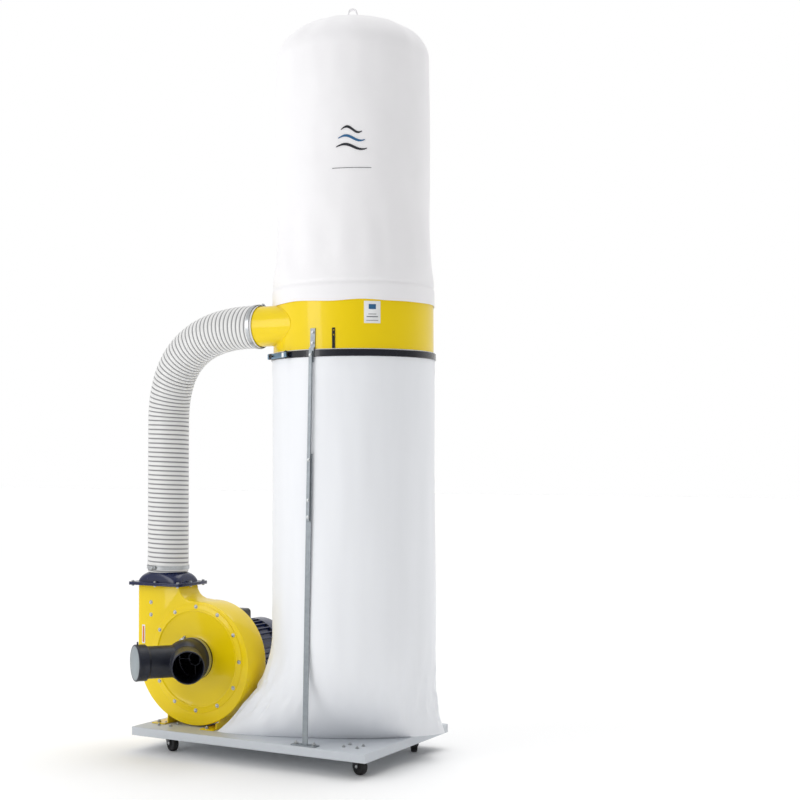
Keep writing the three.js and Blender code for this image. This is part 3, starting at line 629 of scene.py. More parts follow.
def stub_weld():
    """The bead where the stub meets the drum, worked out from where the two cylinders cross."""
    points = []
    for i in range(73):
        a = 2 * pi * i / 72
        y, z = STUB.y + DUCT_RADIUS * cos(a), STUB.z + DUCT_RADIUS * sin(a)
        x = RING.x - sqrt(RING_RADIUS ** 2 - (y - RING.y) ** 2)
        points.append(Vector((x, y, z)))
    finished(along_path("stub_weld", points, 1.7 * MM, 10), YELLOW, "painted_yellow", smooth=80)


def along_path(name, points, radius, sides=12):
    """A round bar along a chain of points."""
    bar = drawn(name, points, closed=False)
    bpy.ops.mesh.remove_doubles(threshold=1e-5)
    bpy.ops.object.mode_set(mode="OBJECT")
    bpy.ops.object.convert(target="CURVE")
    bar = bpy.context.object
    bar.data.bevel_depth = radius
    bar.data.bevel_resolution = max(1, sides // 4)
    bar.data.use_fill_caps = True
    bpy.ops.object.convert(target="MESH")
    bar = named(name)
    bpy.ops.object.mode_set(mode="EDIT")
    tidy_faces()
    return bar


def around(angle, radius, z):
    """A point round the ring's axis, by heading in degrees."""
    return RING + Vector((radius * cos(radians(angle)), radius * sin(radians(angle)), z))


def band_and_latch():
    r = 253.9 * MM
    out = r + 3 * MM
    round_over = 1.2 * MM
    profile = [(r, BAND_LOW + 1 * MM), (r + 1 * MM, BAND_LOW), (out - round_over, BAND_LOW),
               (out, BAND_LOW + round_over), (out, BAND_HIGH - round_over),
               (out - round_over, BAND_HIGH), (r + 1 * MM, BAND_HIGH), (r, BAND_HIGH - 1 * MM)]
    hoop = turned("band_hoop", profile, RING, UP, 160)
    finished(hoop, BLACK_PAINT, "black_steel", replaces=["band_clamp"], smooth=30)

    pivot_angle, level = 249, (BAND_LOW + BAND_HIGH) / 2
    pivot = around(pivot_angle, out + 11 * MM, 0)

    def tab(inner_angles, outer_angles, reach, z):
        """The foot of a tab that stands off the hoop."""
        corners = [(a, out - 1 * MM) for a in inner_angles] + [(a, out + reach) for a in outer_angles]
        return [around(a, radius, z) for a, radius in corners]

    fittings = []
    for z in (BAND_LOW, BAND_HIGH - 2 * MM):
        corners = tab((pivot_angle - 1.2, pivot_angle + 1.2), (pivot_angle + 1, pivot_angle - 1), 15 * MM, z)
        fittings.append(extruded("lug", corners, UP * 2 * MM, 0.5 * MM))
    ends = (pivot + UP * z for z in (BAND_LOW - 2 * MM, BAND_HIGH + 2 * MM))
    fittings.append(rod("pin", *ends, 2.2 * MM))
    keeper = tab((215, 217.4), (217.2, 215.2), 6 * MM, level - 7 * MM)
    fittings.append(extruded("keeper", keeper, UP * 14 * MM, 1 * MM))
    finished(joined("latch_mounts", *fittings), BLACK_PAINT, "black_steel")

    back = (Vector(around(223, out + 11 * MM, 0)) - pivot).normalized()
    outward = Vector((-back.y, back.x, 0))
    if outward.dot(pivot - RING) < 0:
        outward = -outward
    half = 8 * MM

    def lever_point(t, w):
        return pivot + back * t + outward * w + UP * (level - half)

    plate = [lever_point(t, w) for t, w in mm((0, -2), (20, -2.6), (112, -2), (118, 0.5), (122, 5.5),
                                              (119, 6.5), (112, 3), (20, 2.6), (0, 3.5))]
    lever = extruded("lever_plate", plate, UP * 2 * half, 0.9 * MM)
    knuckle = rod("knuckle", pivot + UP * (level - half), pivot + UP * (level + half), 4 * MM, 0.5 * MM)
    # The lever's steel carries a painted blue reflection in its colour.
    finished(joined("latch_lever", lever, knuckle), BLUE_REFLECTION_STEEL, "zinc_steel", "latch", ["band_latch"])

    def lever_sleeve(name, start, end, thick, over, material, slot):
        corners = [lever_point(*c) for c in ((start, -thick), (end, -thick), (end, thick), (start, thick))]
        sleeve = extruded(name, [c - UP * over for c in corners], UP * 2 * (half + over), 0.5 * MM)
        finished(sleeve, material, slot, "latch")

    lever_sleeve("latch_grip", 100 * MM, 119 * MM, 4 * MM, 1 * MM, BLACK_PAINT, "black_steel")
    lever_sleeve("latch_mark", 8 * MM, 24 * MM, 3.1 * MM, -1 * MM, LABEL, "zinc_steel")
    for place, name in ((88 * MM, "latch_hook_a"), (104 * MM, "latch_hook_b")):
        start = lever_point(place, 3 * MM) + UP * half
        pieces = [rod("post", start - outward * 1 * MM, start + outward * 4 * MM, 2.4 * MM),
                  rod("head", start + outward * 3 * MM, start + outward * 6 * MM, 4 * MM, 0.6 * MM)]
        finished(joined(name, *pieces), BLACK_PAINT, "black_steel", "latch")


def legs():
    eased("hanger_strip", BLACK_PAINT, 0.4 * MM)
    bolts, nuts = [], []
    for name, angle in (("front", -90), ("back", 90), ("inner", 180)):
        for part in ("bracket", "upper", "lower"):
            eased(f"leg_{part}_{name}", POLE_STEEL, 0.7 * MM)
        outward = around(angle, 1, 0) - RING
        side = UP.cross(outward)
        lean = -24.5 * MM if name == "front" else 0

        def on_leg(radius, z, across=0.0):
            drop = min(1, (LEG_TOP - z) / (LEG_TOP - DECK))
            return RING + outward * radius + side * (lean * drop + across) + UP * z

        bolts += [(on_leg(253.3 * MM, z), outward) for z in (1.300, 1.268)]
        bolts += [(on_leg(264.9 * MM, z), outward) for z in (1.232, 0.92, 0.80, 0.75)]
        foot = on_leg(258.8 * MM, DECK + 3.3 * MM)
        nuts += [(foot + side * across, UP) for across in (-30 * MM, 30 * MM)]
    finished(copies("leg_bolts", hex_bolt(5 * MM), bolts), ZINC, "zinc_steel")
    finished(copies("foot_bolts", hex_bolt(7 * MM, stud=9 * MM), nuts), ZINC, "zinc_steel")


def eased(node, material, edge=0.6 * MM, angle=50):
    """A frame node keeps its shape, gets its finish and has its hard edges eased."""
    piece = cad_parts[node]
    piece.data.materials.clear()
    piece.data.materials.append(material)
    weld = piece.modifiers.new("weld", "WELD")
    weld.merge_threshold = 1e-5
    bevel = piece.modifiers.new("bevel", "BEVEL")
    bevel.width, bevel.segments = edge, 2
    bevel.limit_method, bevel.angle_limit = "ANGLE", radians(angle)


# ---- bags ----

def ease(value):
    value = max(0.0, min(1.0, value))
    return value * value * (3 - 2 * value)


def ripple(a, z, across, tall, shift=0.0):
    """Smooth noise that closes on itself round a bag; larger numbers make smaller ripples."""
    return noise.noise(Vector((across * cos(a), across * sin(a), z * tall + shift)))


def collection_bag():
    bottom, top = low("collection_bag").z, high("collection_bag").z
    body, neck = 255.5 * MM, 253.4 * MM
    left_ear, right_ear, half_depth = 425 * MM, 280 * MM, 102 * MM
    turn = Matrix.Rotation(BAG_HEADING, 3, "Z")

    def place(around_share, up_share):
        a = 2 * pi * around_share
        share = up_share ** 1.25
        z = bottom + (top - bottom) * share
        rise = min(1.0, (z - bottom) / 0.33)
        left = left_ear + (body - left_ear) * (1 - (1 - rise) ** 2.3)
        right = right_ear + (body - right_ear) * (1 - (1 - rise) ** 4)
        wide = half_depth + (body - half_depth) * (1 - (1 - rise) ** 2.2)
        pinch = 0.45 * (1 - rise) ** 3
        point = Vector((cos(a) * (left if cos(a) < 0 else right), sin(a) * abs(sin(a)) ** pinch * wide, 0))
        slack = ease((z - bottom) / 0.12) * ease((BAND_LOW - 0.01 - z) / 0.06)
        fold = 2.6 * MM * ripple(a, z, 2.2, 1.6) + 1.6 * MM * ripple(a, z, 6, 3.2, 5)
        point *= 1 + slack * (fold - 2.2 * MM) / max(0.05, point.length)
        crumple = (1 - rise) ** 1.2 * slack * abs(cos(a))
        ridge = abs(ripple(a, z, 9, 9)) + 0.5 * abs(ripple(a, z, 22, 20))
        point *= 1 - crumple * 0.11 * (0.55 - ridge)
        tuck = ease((z - (BAND_LOW - 0.045)) / 0.035)
        if point.length > neck:
            point *= 1 + tuck * (neck / point.length - 1)
        return RING + turn @ point + UP * z

    bag = grid_shaped("collection_bag_film", 161, 150, place)
    only(bag)
    bpy.ops.object.mode_set(mode="EDIT")
    bpy.ops.mesh.select_all(action="DESELECT")
    bpy.ops.object.mode_set(mode="OBJECT")
    for edge in bag.data.edges:
        a, b = (bag.data.vertices[v].co for v in edge.vertices)
        edge.select = abs(a.z - bottom) < 1e-4 and abs(b.z - bottom) < 1e-4
    bpy.ops.object.mode_set(mode="EDIT")
    bpy.ops.mesh.edge_face_add()
    tidy_faces()
    modified(bag, "SOLIDIFY", thickness=0.6 * MM, offset=-1)
    finished(bag, FILM, "bag_film", replaces=["collection_bag"], smooth=60)


def filter_bag_radius(z):
    """The bag's rest radius by height: loose over the ring, straight above, and domed at its top."""
    if z > BAG_SHOULDER:
        share = min(1.0, (z - BAG_SHOULDER) / (BAG_CROWN - BAG_SHOULDER))
        return BAG_RADIUS * sqrt(max(0.0, 1 - share ** 2))
    if z < RING_HIGH + 6 * MM:
        return 253.4 * MM
    foot = ease((1.66 - z) / (1.66 - RING_HIGH))
    return BAG_RADIUS + 9.5 * MM * foot


def cloth_fold(a, z):
    """How far the cloth stands in or out of its plain round shape."""
    loose = 1 + 0.9 * ease((1.78 - z) / 0.2)
    fold = 5.5 * MM * ripple(a, z, 1.7, 2.6)
    return loose * (fold + 2.6 * MM * noise.noise(Vector((4.5 * cos(a) + 9, 4.5 * sin(a), z * 7))))


def filter_bag():
    skirt, crown, shoulder = BAG_FOOT, BAG_CROWN, BAG_SHOULDER

    def place(around_share, up_share):
        a = 2 * pi * around_share
        if up_share < 0.78:
            z = skirt + (shoulder - skirt) * up_share / 0.78
            r = filter_bag_radius(z)
        else:
            turn = (up_share - 0.78) / 0.22 * pi / 2
            z = shoulder + (crown - shoulder) * sin(turn)
            r = BAG_RADIUS * cos(turn)
        slack = ease((z - skirt - 0.05) / 0.08) * ease(r / 0.12)
        fold = cloth_fold(a, z)
        gather = 1.2 * MM * ease((z - shoulder) / 0.06) * sin(16 * a)
        r += slack * (fold - 1.5 * MM) + gather * ease(r / 0.1)
        r -= 3 * MM * exp(-((z - RING_HIGH - 11 * MM) / (4.5 * MM)) ** 2)
        z += (1 - ease((z - skirt) / 0.05)) * (4 * MM * ripple(a, 0, 2, 1) - 3 * MM)
        return RING + Vector((r * cos(a), r * sin(a), z))

    bag = grid_shaped("filter_bag_cloth", 161, 190, place)
    modified(bag, "SOLIDIFY", thickness=1.6 * MM, offset=-1)
    finished(bag, FELT, "filter_cloth", replaces=["filter_bag"], smooth=70)


def hanging_loop():
    lowest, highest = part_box("hanging_loop")
    centre = middle("hanging_loop")
    heading = Matrix.Rotation(BAG_HEADING, 3, "Z")
    arch = highest[2] - lowest[2] - 12.5 * MM
    turns = [pi * i / 16 for i in range(17)]
    outer = [(14 * MM * cos(a), arch + 12 * MM * sin(a)) for a in turns]
    inner = [(10 * MM * cos(a), arch + 8.4 * MM * sin(a)) for a in reversed(turns)]
    strap = mm((24, -4)) + outer + mm((-24, -4), (-19, -4)) + inner + mm((19, -4))
    base = Vector((centre.x, centre.y, lowest[2]))
    points = [base + heading @ Vector((x, -8 * MM, z)) for x, z in strap]
    loop = extruded("hanging_strap", points, heading @ Vector((0, 16 * MM, 0)), 0.8 * MM)
    finished(loop, FELT, "filter_cloth", replaces=["hanging_loop"], smooth=70)


def on_filter_bag(angle, z, proud=1.2 * MM):
    """A point on the filter bag's front, by heading in degrees."""
    a = radians(angle)
    r = filter_bag_radius(z) - 1.5 * MM + cloth_fold(a, z) + proud
    return RING + Vector((r * cos(a), r * sin(a), z))


def printed_mark(name, lines, material):
    """Printing on the bag: each line is a list of (heading, height, half width) stations."""
    made = []
    for line in lines:
        def place(along, across, line=line):
            at = along * (len(line) - 1)
            i = min(int(at), len(line) - 2)
            t = at - i
            angle, z, half = ((1 - t) * p + t * q for p, q in zip(line[i], line[i + 1]))
            return on_filter_bag(angle, z + (across - 0.5) * 2 * half)
        made.append(grid_shaped(name, 60, 3, place))
    mark = joined(name, *made)
    modified(mark, "SOLIDIFY", thickness=0.4 * MM, offset=0)
    finished(mark, material, "filter_cloth", smooth=80)


def emblem():
    """A plain mark of blown air: three rising streams over a rule, no letters."""
    centre, level = -62.6, 1.905

    def stream(drop, length, wave):
        stations = []
        for i in range(13):
            t = i / 12
            stations.append((centre - length / 2 + length * t, level - drop + wave * sin(t * 2 * pi * 0.9),
                             (1.2 + 3.2 * sin(pi * t)) * MM))
        return stations

    printed_mark("mark_streams", [stream(0.0, 15, 9 * MM), stream(0.052, 22, 8 * MM)], EMBLEM_DARK)
    printed_mark("mark_middle_stream", [stream(0.026, 19, 8 * MM)], EMBLEM_BLUE)
    rule = [(centre - 14, level - 0.115, 0.7 * MM), (centre + 14, level - 0.115, 0.7 * MM)]
    printed_mark("mark_rule", [rule], EMBLEM_DARK)


def on_drum(name, angle, z, width, height, material, slot, proud=0.5 * MM, lift=0.0):
    half = degrees(width / 2 / RING_RADIUS)

    def place(along, across):
        r = RING_RADIUS + proud + lift
        return around(angle - half + 2 * half * along, r, z + (across - 0.5) * height)

    label = grid_shaped(name, 24, 3, place)
    modified(label, "SOLIDIFY", thickness=0.4 * MM, offset=-1)
    return finished(label, material, slot)


def labels():
    on_drum("ring_label", -48.5, 1.358, 50 * MM, 66 * MM, LABEL, "inlet_plastic")
    for i, (drop, width, tall) in enumerate(((-16, 22, 15), (6, 24, 1.6), (14, 34, 2.4), (25, 36, 1.4))):
        on_drum(f"ring_label_line_{i}", -48.5, 1.358 - drop * MM, width * MM, tall * MM,
                LABEL_PRINT if i else EMBLEM_BLUE, "inlet_plastic", lift=0.3 * MM)


# ---- fan ----

def scroll_outline(inset, y, top):
    start, end = 177 * MM - inset, 228 * MM - inset
    neck = -68 * MM - inset
    points = [(neck, top)]
    for t in (0.2, 0.4, 0.6, 0.8):
        a, b, c = (1 - t) ** 2, 2 * t * (1 - t), t * t
        points.append((a * neck + b * (neck + 4 * MM) + c * -12 * MM,
                       a * top + b * (start + 4 * MM) + c * start))
    steps = 90
    for i in range(steps + 1):
        turn = radians(90 - 270 * i / steps)
        r = start + (end - start) * i / steps
        points.append((r * cos(turn), r * sin(turn)))
    points.append((-end, top))
    return [from_fan(u, y, v) for u, v in points]


def fan_housing():
    top = high("fan_housing").z - FAN.z
    depth = Vector((0, FAN_BACK - FAN_FRONT, 0))
    shell = extruded("scroll_housing", scroll_outline(0, FAN_FRONT, top), depth)
    bevelled(shell, 2.2 * MM, 3, 60)
    sheet = 2 * MM
    hollow = extruded("hollow", scroll_outline(sheet, FAN_FRONT + sheet, top + 5 * MM),
                      depth - Vector((0, 2 * sheet, 0)))
    mouth = rod("mouth", from_fan(0, FAN_FRONT - 0.01, 0), from_fan(0, FAN_FRONT + 0.006, 0), 0.155, 0, 96)
    back = rod("back", from_fan(0, FAN_BACK - 0.006, 0), from_fan(0, FAN_BACK + 0.01, 0), 0.034, 0, 48)
    cut(shell, hollow, mouth, back)
    finished(shell, YELLOW, "painted_yellow", replaces=["fan_housing"], smooth=35)

    forward, face = -BACK, from_fan(0, FAN_FRONT, 0)
    cover = mm((62.6, 0.3), (166, 0.3), (171, 0.3), (171.6, 0.9), (171, 1.8), (170, 2.3), (157.5, 2.3),
             (156, 3), (154, 4.8), (152, 5.3), (150, 4.8), (148, 3), (146.5, 2.3), (80, 2.3),
             (72, 2.7), (66, 4.4), (62.6, 8))
    disc = turned("round_cover", cover, face, forward, 128)
    finished(disc, YELLOW, "painted_yellow", replaces=["fan_front_cover"], smooth=30)
    # Painted shade: the spigot takes the dark inlet plastic in place of the cover's yellow, standing for the
    # shade inside the inlet.
    spigot = pipe("inlet_spigot_painted_shade", face, forward, 62.5 * MM, 61 * MM, 0.3 * MM, 28.3 * MM, 0.4 * MM, 96)
    finished(spigot, INLET_PLASTIC, "inlet_plastic")
    places = [(from_fan(163 * MM * cos(a), COVER_FRONT, 163 * MM * sin(a)), forward)
              for a in [radians(30 * i) for i in range(12)]]
    places += [(from_fan(-178 * MM, FAN_FRONT, z), forward) for z in (0.128, 0.168)]
    finished(copies("cover_screws", pan_bolt(5.6 * MM), places), ZINC, "zinc_steel")

    label = block("duct_label", from_fan(-213 * MM, FAN_FRONT - 0.6 * MM, 34 * MM),
                  from_fan(-201 * MM, FAN_FRONT, 94 * MM), 0.2 * MM)
    finished(label, LABEL, "painted_yellow")
    stripe = block("duct_label_stripe", from_fan(-210 * MM, FAN_FRONT - 0.9 * MM, 38 * MM),
                   from_fan(-204 * MM, FAN_FRONT - 0.5 * MM, 90 * MM), 0.1 * MM)
    finished(stripe, ORANGE, "painted_yellow")


def fan_feet():
    places = []
    for side in ("left", "right"):
        eased(f"fan_foot_{side}", YELLOW)
        lowest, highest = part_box(f"fan_foot_{side}")
        x = (lowest[0] * 1.3 + highest[0] * 0.7) / 2
        places += [((x, y, DECK + 3.3 * MM), UP) for y in (lowest[1] + 16 * MM, highest[1] - 16 * MM)]
    finished(copies("fan_foot_bolts", hex_bolt(7 * MM, stud=8 * MM), places), ZINC, "zinc_steel")


def inlet_guard():
    front, depth = low("inlet_guard").y, high("inlet_guard").y - low("inlet_guard").y
    centre = from_fan(0, front, 0)
    waist = centre + BACK * depth / 2
    pieces = [pipe("hub", centre, BACK, 23 * MM, 19.4 * MM, 0, depth, 0.6 * MM, 48),
              pipe("rim", centre, BACK, 60.7 * MM, 57.7 * MM, 0, depth, 0.6 * MM, 72)]
    for i in range(4):
        a = radians(90 * i + 4)
        arm = Vector((cos(a), 0, sin(a)))
        pieces.append(rod("spoke", waist + arm * 22 * MM, waist + arm * 59 * MM, 1.8 * MM, 0, 12))
    finished(joined("guard_ring", *pieces), GUARD_PLASTIC, "inlet_plastic", replaces=["inlet_guard"])


def impeller():
    centre = from_fan(0, high("impeller").y, 0)
    inner, outer = 46 * MM, 139 * MM
    disc = mm((12.3, 0), (139, 0), (140, -1), (139, -3), (30, -3), (25, -6), (23, -34), (12.3, -34))
    pieces = [turned("disc", disc, centre, BACK, 96)]
    for i in range(10):
        turn = Matrix.Rotation(radians(36 * i), 3, "Y")
        curve = []
        for j in range(9):
            t = j / 8
            r = inner + (outer - inner) * t
            a = -0.75 * t
            curve.append(Vector((r * cos(a), 0, r * sin(a))))
        thick = [p + Vector((-p.z, 0, p.x)).normalized() * 1.6 * MM for p in reversed(curve)]
        points = [centre + turn @ (p + Vector((0, -2 * MM, 0))) for p in curve + thick]
        pieces.append(extruded("blade", points, Vector((0, -54 * MM, 0)), 0.3 * MM))
    finished(joined("fan_wheel", *pieces), CAST, "cast_alloy", "rotor", ["impeller"])


# ---- Y inlet ----

def branch_direction(side):
    return Vector((side * sin(SPREAD), -cos(SPREAD), 0))


def wye_inlet():
    base_end = COVER_FRONT - 0.3 * MM
    back = Vector((JUNCTION.x, base_end, JUNCTION.z))
    reach = BRANCH_REACH
    solid = rod("wye", JUNCTION, back, 66 * MM, 0, 64)
    nothing_selected()
    bpy.ops.mesh.primitive_uv_sphere_add(segments=64, ring_count=32, radius=66 * MM, location=JUNCTION)
    ball = baked(bpy.context.object)
    arms = [rod("arm", JUNCTION, JUNCTION + branch_direction(side) * (reach - 4 * MM), 50 * MM, 0, 64)
            for side in (-1, 1)]
    for tool in (ball, *arms):
        modified(solid, "BOOLEAN", operation="UNION", object=tool, solver="EXACT")
        bpy.data.objects.remove(tool)
    trim = block("trim", (JUNCTION.x - 0.1, base_end, JUNCTION.z - 0.1),
                 (JUNCTION.x + 0.1, base_end + 0.1, JUNCTION.z + 0.1), 0)
    cut(solid, trim)
    modified(solid, "REMESH", mode="VOXEL", voxel_size=2.4 * MM, use_smooth_shade=True)
    modified(solid, "SMOOTH", factor=0.6, iterations=9)
    tools = [rod("bore", JUNCTION - Vector((0, 0.01, 0)), back + Vector((0, 0.02, 0)), 62.8 * MM, 0, 64)]
    tools += [rod("bore", JUNCTION, JUNCTION + branch_direction(side) * (reach + 0.02), 47 * MM, 0, 64)
              for side in (-1, 1)]
    cut(solid, *tools)
    collars = [pipe("base_collar", back, -BACK, 66.3 * MM, 62.8 * MM, 0, 34 * MM, 1.2 * MM, 96)]
    for side in (-1, 1):
        direction = branch_direction(side)
        collars.append(pipe("branch_collar", JUNCTION, direction, 50.4 * MM, 47 * MM, reach - 38 * MM, reach,
                            1.1 * MM, 96))
    collars.append(pipe("lip", JUNCTION, branch_direction(-1), 53.9 * MM, 49 * MM, reach - 29 * MM,
                        reach - 0.2 * MM, 1 * MM, 96))
    finished(joined("wye_piece", solid, *collars), INLET_PLASTIC, "inlet_plastic", replaces=["wye_inlet"],
             smooth=50)


def inlet_cap():
    end = BRANCH_REACH + 3.3 * MM
    direction = branch_direction(-1)
    cup = mm((0, -3), (54.4, -3), (54.4, -33), (55, -33.4), (56.3, -33), (56.3, -8), (56.8, -7),
             (56.8, -2), (55.7, -0.4), (54.1, 0), (52.3, -0.6), (0, -0.6), base=end)
    shell = turned("cap_shell", cup, JUNCTION, direction, 96)
    eye = mm((2.2, -1.5), (5.5, -1.5), (5.5, 1.5), (2.2, 1.5))
    eyelet = turned("eyelet", eye, JUNCTION + UP * 59.8 * MM + direction * (end - 9 * MM), direction, 32)
    finished(joined("cap_cup", shell, eyelet), INLET_PLASTIC, "cap_plastic", "cap", ["inlet_cap"])
    # Painted reflection: the face disc is grey, standing for the sheen on the black cap's face, not a grey
    # plastic of its own.
    disc = mm((0, -0.7), (52, -0.7), (52, -0.2), (51.4, 0.1), (0, 0.1), base=end)
    finished(turned("cap_face_disc", disc, JUNCTION, direction, 96), CAP_FACE_PAINTED_REFLECTION, "cap_plastic", "cap")


# ---- outlet hood, hose and clamps ----

def rounded_square(half_x, half_y, power, z, count=96):
    points = []
    for i in range(count):
        a = 2 * pi * i / count
        x = copysign(half_x * abs(cos(a)) ** (2 / power), cos(a))
        y = copysign(half_y * abs(sin(a)) ** (2 / power), sin(a))
        points.append(Vector((DUCT.x + x, DUCT.y + y, z)))
    return points


def outlet_hood():
    flange_low = low("outlet_hood").z
    rows = [(x, y, power, flange_low + up * MM) for x, y, power, up in
            ((80, 64, 9, 4.8), (80, 64, 8, 9), (79, 63.5, 6, 15))]
    rows += [(x, y, power, HOOD_TOP + up * MM) for x, y, power, up in
             ((76, 63, 4.6, -13), (73, 63, 3.2, -7), (69, 62, 2.5, -3), (65, 61.5, 2.1, -0.6),
              (62.6, 62.6, 2, 0.6), (62.5, 62.5, 2, 6))]
    rows.append((62.5, 62.5, 2, high("outlet_hood").z))
    sections = [rounded_square(x * MM, y * MM, power, z) for x, y, power, z in rows]

    def place(around_share, up_share):
        at = up_share * (len(sections) - 1)
        i = min(int(round(at)), len(sections) - 1)
        return sections[i][int(round(around_share * 96)) % 96]

    hood = grid_shaped("hood_shell", 97, len(sections), place)
    modified(hood, "SOLIDIFY", thickness=1.5 * MM, offset=-1)
    finished(hood, NAVY, "painted_navy", replaces=["outlet_hood"], smooth=50)
    for name, node in (("hood_flange", "outlet_hood"), ("duct_flange_plate", "duct_flange")):
        lowest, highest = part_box(node)
        z = lowest[2]
        plate = block(name, lowest, (highest[0], highest[1], z + FLANGE_SHEET), 0)
        window = block("window", (DUCT.x - 77 * MM, DUCT.y - 50 * MM, z - 0.01),
                       (DUCT.x + 77 * MM, DUCT.y + 50 * MM, z + 0.02), 0)
        cut(plate, window)
        bevelled(plate, 0.8 * MM, 2, 50)
        finished(plate, NAVY, "painted_navy", replaces=["duct_flange"] if node == "duct_flange" else ())
    x, y = 89 * MM, 72 * MM
    spots = [(i * x, j * y) for i in (-1, 0, 1) for j in (-1, 1)] + [(i * x, 0) for i in (-1, 1)]
    places = [((DUCT.x + i, DUCT.y + j, z), facing) for z, facing in
              ((flange_low + FLANGE_SHEET, UP), (low("duct_flange").z, -UP)) for i, j in spots]
    finished(copies("flange_bolts", hex_bolt(5 * MM), places), ZINC, "zinc_steel")


def hose_route():
    """The hose's centre line, as one long list of points: up, round and into the ring's stub."""
    bottom, bend = low("hose").z, 1.040
    y, z = STUB.y, STUB.z
    a, d = Vector((DUCT.x, DUCT.y, bend)), Vector((HOSE_END - 42 * MM, y, z))
    b, c = Vector((DUCT.x, DUCT.y, bend + 0.165)), Vector((HOSE_END - 0.290, y, z))
    points = [Vector((DUCT.x, DUCT.y, bottom + (bend - bottom) * i / 60)) for i in range(60)]
    for i in range(120):
        t = i / 120
        points.append(a * (1 - t) ** 3 + b * 3 * t * (1 - t) ** 2 + c * 3 * t * t * (1 - t) + d * t ** 3)
    points += [d + Vector((42 * MM * i / 6, 0, 0)) for i in range(7)]
    return points


def hose():
    points = hose_route()
    lengths = [0.0]
    for before, after in zip(points, points[1:]):
        lengths.append(lengths[-1] + (after - before).length)
    total = lengths[-1]
    turns = round(total / (14.6 * MM))
    rows, columns = turns * 10 + 1, 57
    frames = []
    normal = RIGHT
    i = 0
    for row in range(rows):
        distance = total * row / (rows - 1)
        while i < len(points) - 2 and lengths[i + 1] < distance:
            i += 1
        t = (distance - lengths[i]) / (lengths[i + 1] - lengths[i])
        centre = points[i].lerp(points[i + 1], t)
        tangent = (points[min(i + 2, len(points) - 1)] - points[max(i - 1, 0)]).normalized()
        normal = (normal - tangent * normal.dot(tangent)).normalized()
        frames.append((centre, normal, tangent.cross(normal)))

    def place(around_share, up_share):
        centre, side, other = frames[min(rows - 1, int(round(up_share * (rows - 1))))]
        phase = up_share * turns + around_share
        cuff = min(1.0, min(up_share, 1 - up_share) * total / (9 * MM))
        r = 65.6 * MM + cuff * 1.9 * MM * abs(sin(pi * phase)) ** 0.7
        a = 2 * pi * around_share
        return centre + (side * cos(a) + other * sin(a)) * r

    tube = grid_shaped("hose_wall", columns, rows, place)
    modified(tube, "SOLIDIFY", thickness=0.7 * MM, offset=-1)
    finish = Finish("hose film", (222, 222, 221), 0.38, Coat_Weight=0.1, Coat_Roughness=0.25)
    split = finish.node("ShaderNodeSeparateXYZ")
    finish.link(finish.coordinates.outputs["UV"], split.inputs["Vector"])
    scaled = finish.node("ShaderNodeMath", operation="MULTIPLY_ADD")
    finish.link(split.outputs["Y"], scaled.inputs[0])
    scaled.inputs[1].default_value = turns
    finish.link(split.outputs["X"], scaled.inputs[2])
    share = finish.node("ShaderNodeMath", operation="FRACT")
    finish.link(scaled.outputs["Value"], share.inputs[0])
    # Painted shade: the colour is darkest in each groove between the ribs and graded lighter up the groove's
    # sides (edge) to the plain wall colour, standing for the shade that falls in the grooves.
    painted_groove_shade, edge, wall = linear(104, 104, 107), linear(170, 170, 171), linear(228, 228, 227)
    shade = finish.ramp(share.outputs["Value"], (0.0, painted_groove_shade), (0.07, painted_groove_shade), (0.15, edge), (0.3, wall),
                        (0.8, wall), (0.92, edge), (1.0, painted_groove_shade))
    finish.link(shade, finish.shader.inputs["Base Color"])
    finish.varied_roughness(finish.noise(60, 3), 0.3, 0.48)
    finish.bumped(finish.noise(300, 3), 0.15, 0.0006)
    finished(tube, finish.material, "hose_plastic", replaces=["hose"], smooth=80)


def worm_clamp(name, centre, axis, out, radius, screw_body):
    """A hose clamp: its band, the folded housing, and the screw that turns in it."""
    axis, out = Vector(axis), Vector(out).normalized()
    side = axis.cross(out)
    inner = radius + 0.2 * MM
    band = pipe("band", centre, axis, inner + 1.1 * MM, inner, -6 * MM, 6 * MM, 0.3 * MM, 96)
    bore = Vector(centre) + out * (radius + 6.1 * MM)

    def housing_point(u, v, w):
        return Vector(centre) + side * u + out * (radius + v) + axis * w

    shape = [(-5.6, 1), (5.6, 1), (5.9, 6), (4.2, 9.6), (0, 10.8), (-4.2, 9.6), (-5.9, 6)]
    points = [housing_point(-9 * MM, v * MM, w * MM) for w, v in shape]
    housing = extruded("housing", points, side * 15 * MM, 0.6 * MM)
    saddle = [housing_point(-13 * MM, 1.2 * MM, w * MM) for w in (-6.6, 6.6)]
    saddle += [housing_point(12 * MM, 1.2 * MM, w * MM) for w in (6.6, -6.6)]
    strip = extruded("saddle", saddle, out * 1.6 * MM, 0.3 * MM)
    finished(joined(f"{name}_band", band, housing, strip), ZINC, "zinc_steel",
             replaces=[f"{name}_clamp"])
    head = bore + side * 10.5 * MM
    pieces = [rod("shank", bore - side * 15.6 * MM, bore + side * 11 * MM, 3.1 * MM, 0.3 * MM, 20),
              rod("collar", head, head + side * 1.2 * MM, 5.6 * MM, 0.2 * MM, 32),
              rod("head", head + side * 1.2 * MM, head + side * 5.4 * MM, 4.6 * MM, 0.5 * MM, 6)]
    screw = joined(f"{name}_screw", *pieces)
    finished(screw, ZINC, "zinc_steel", screw_body, [f"{name}_clamp_screw"])


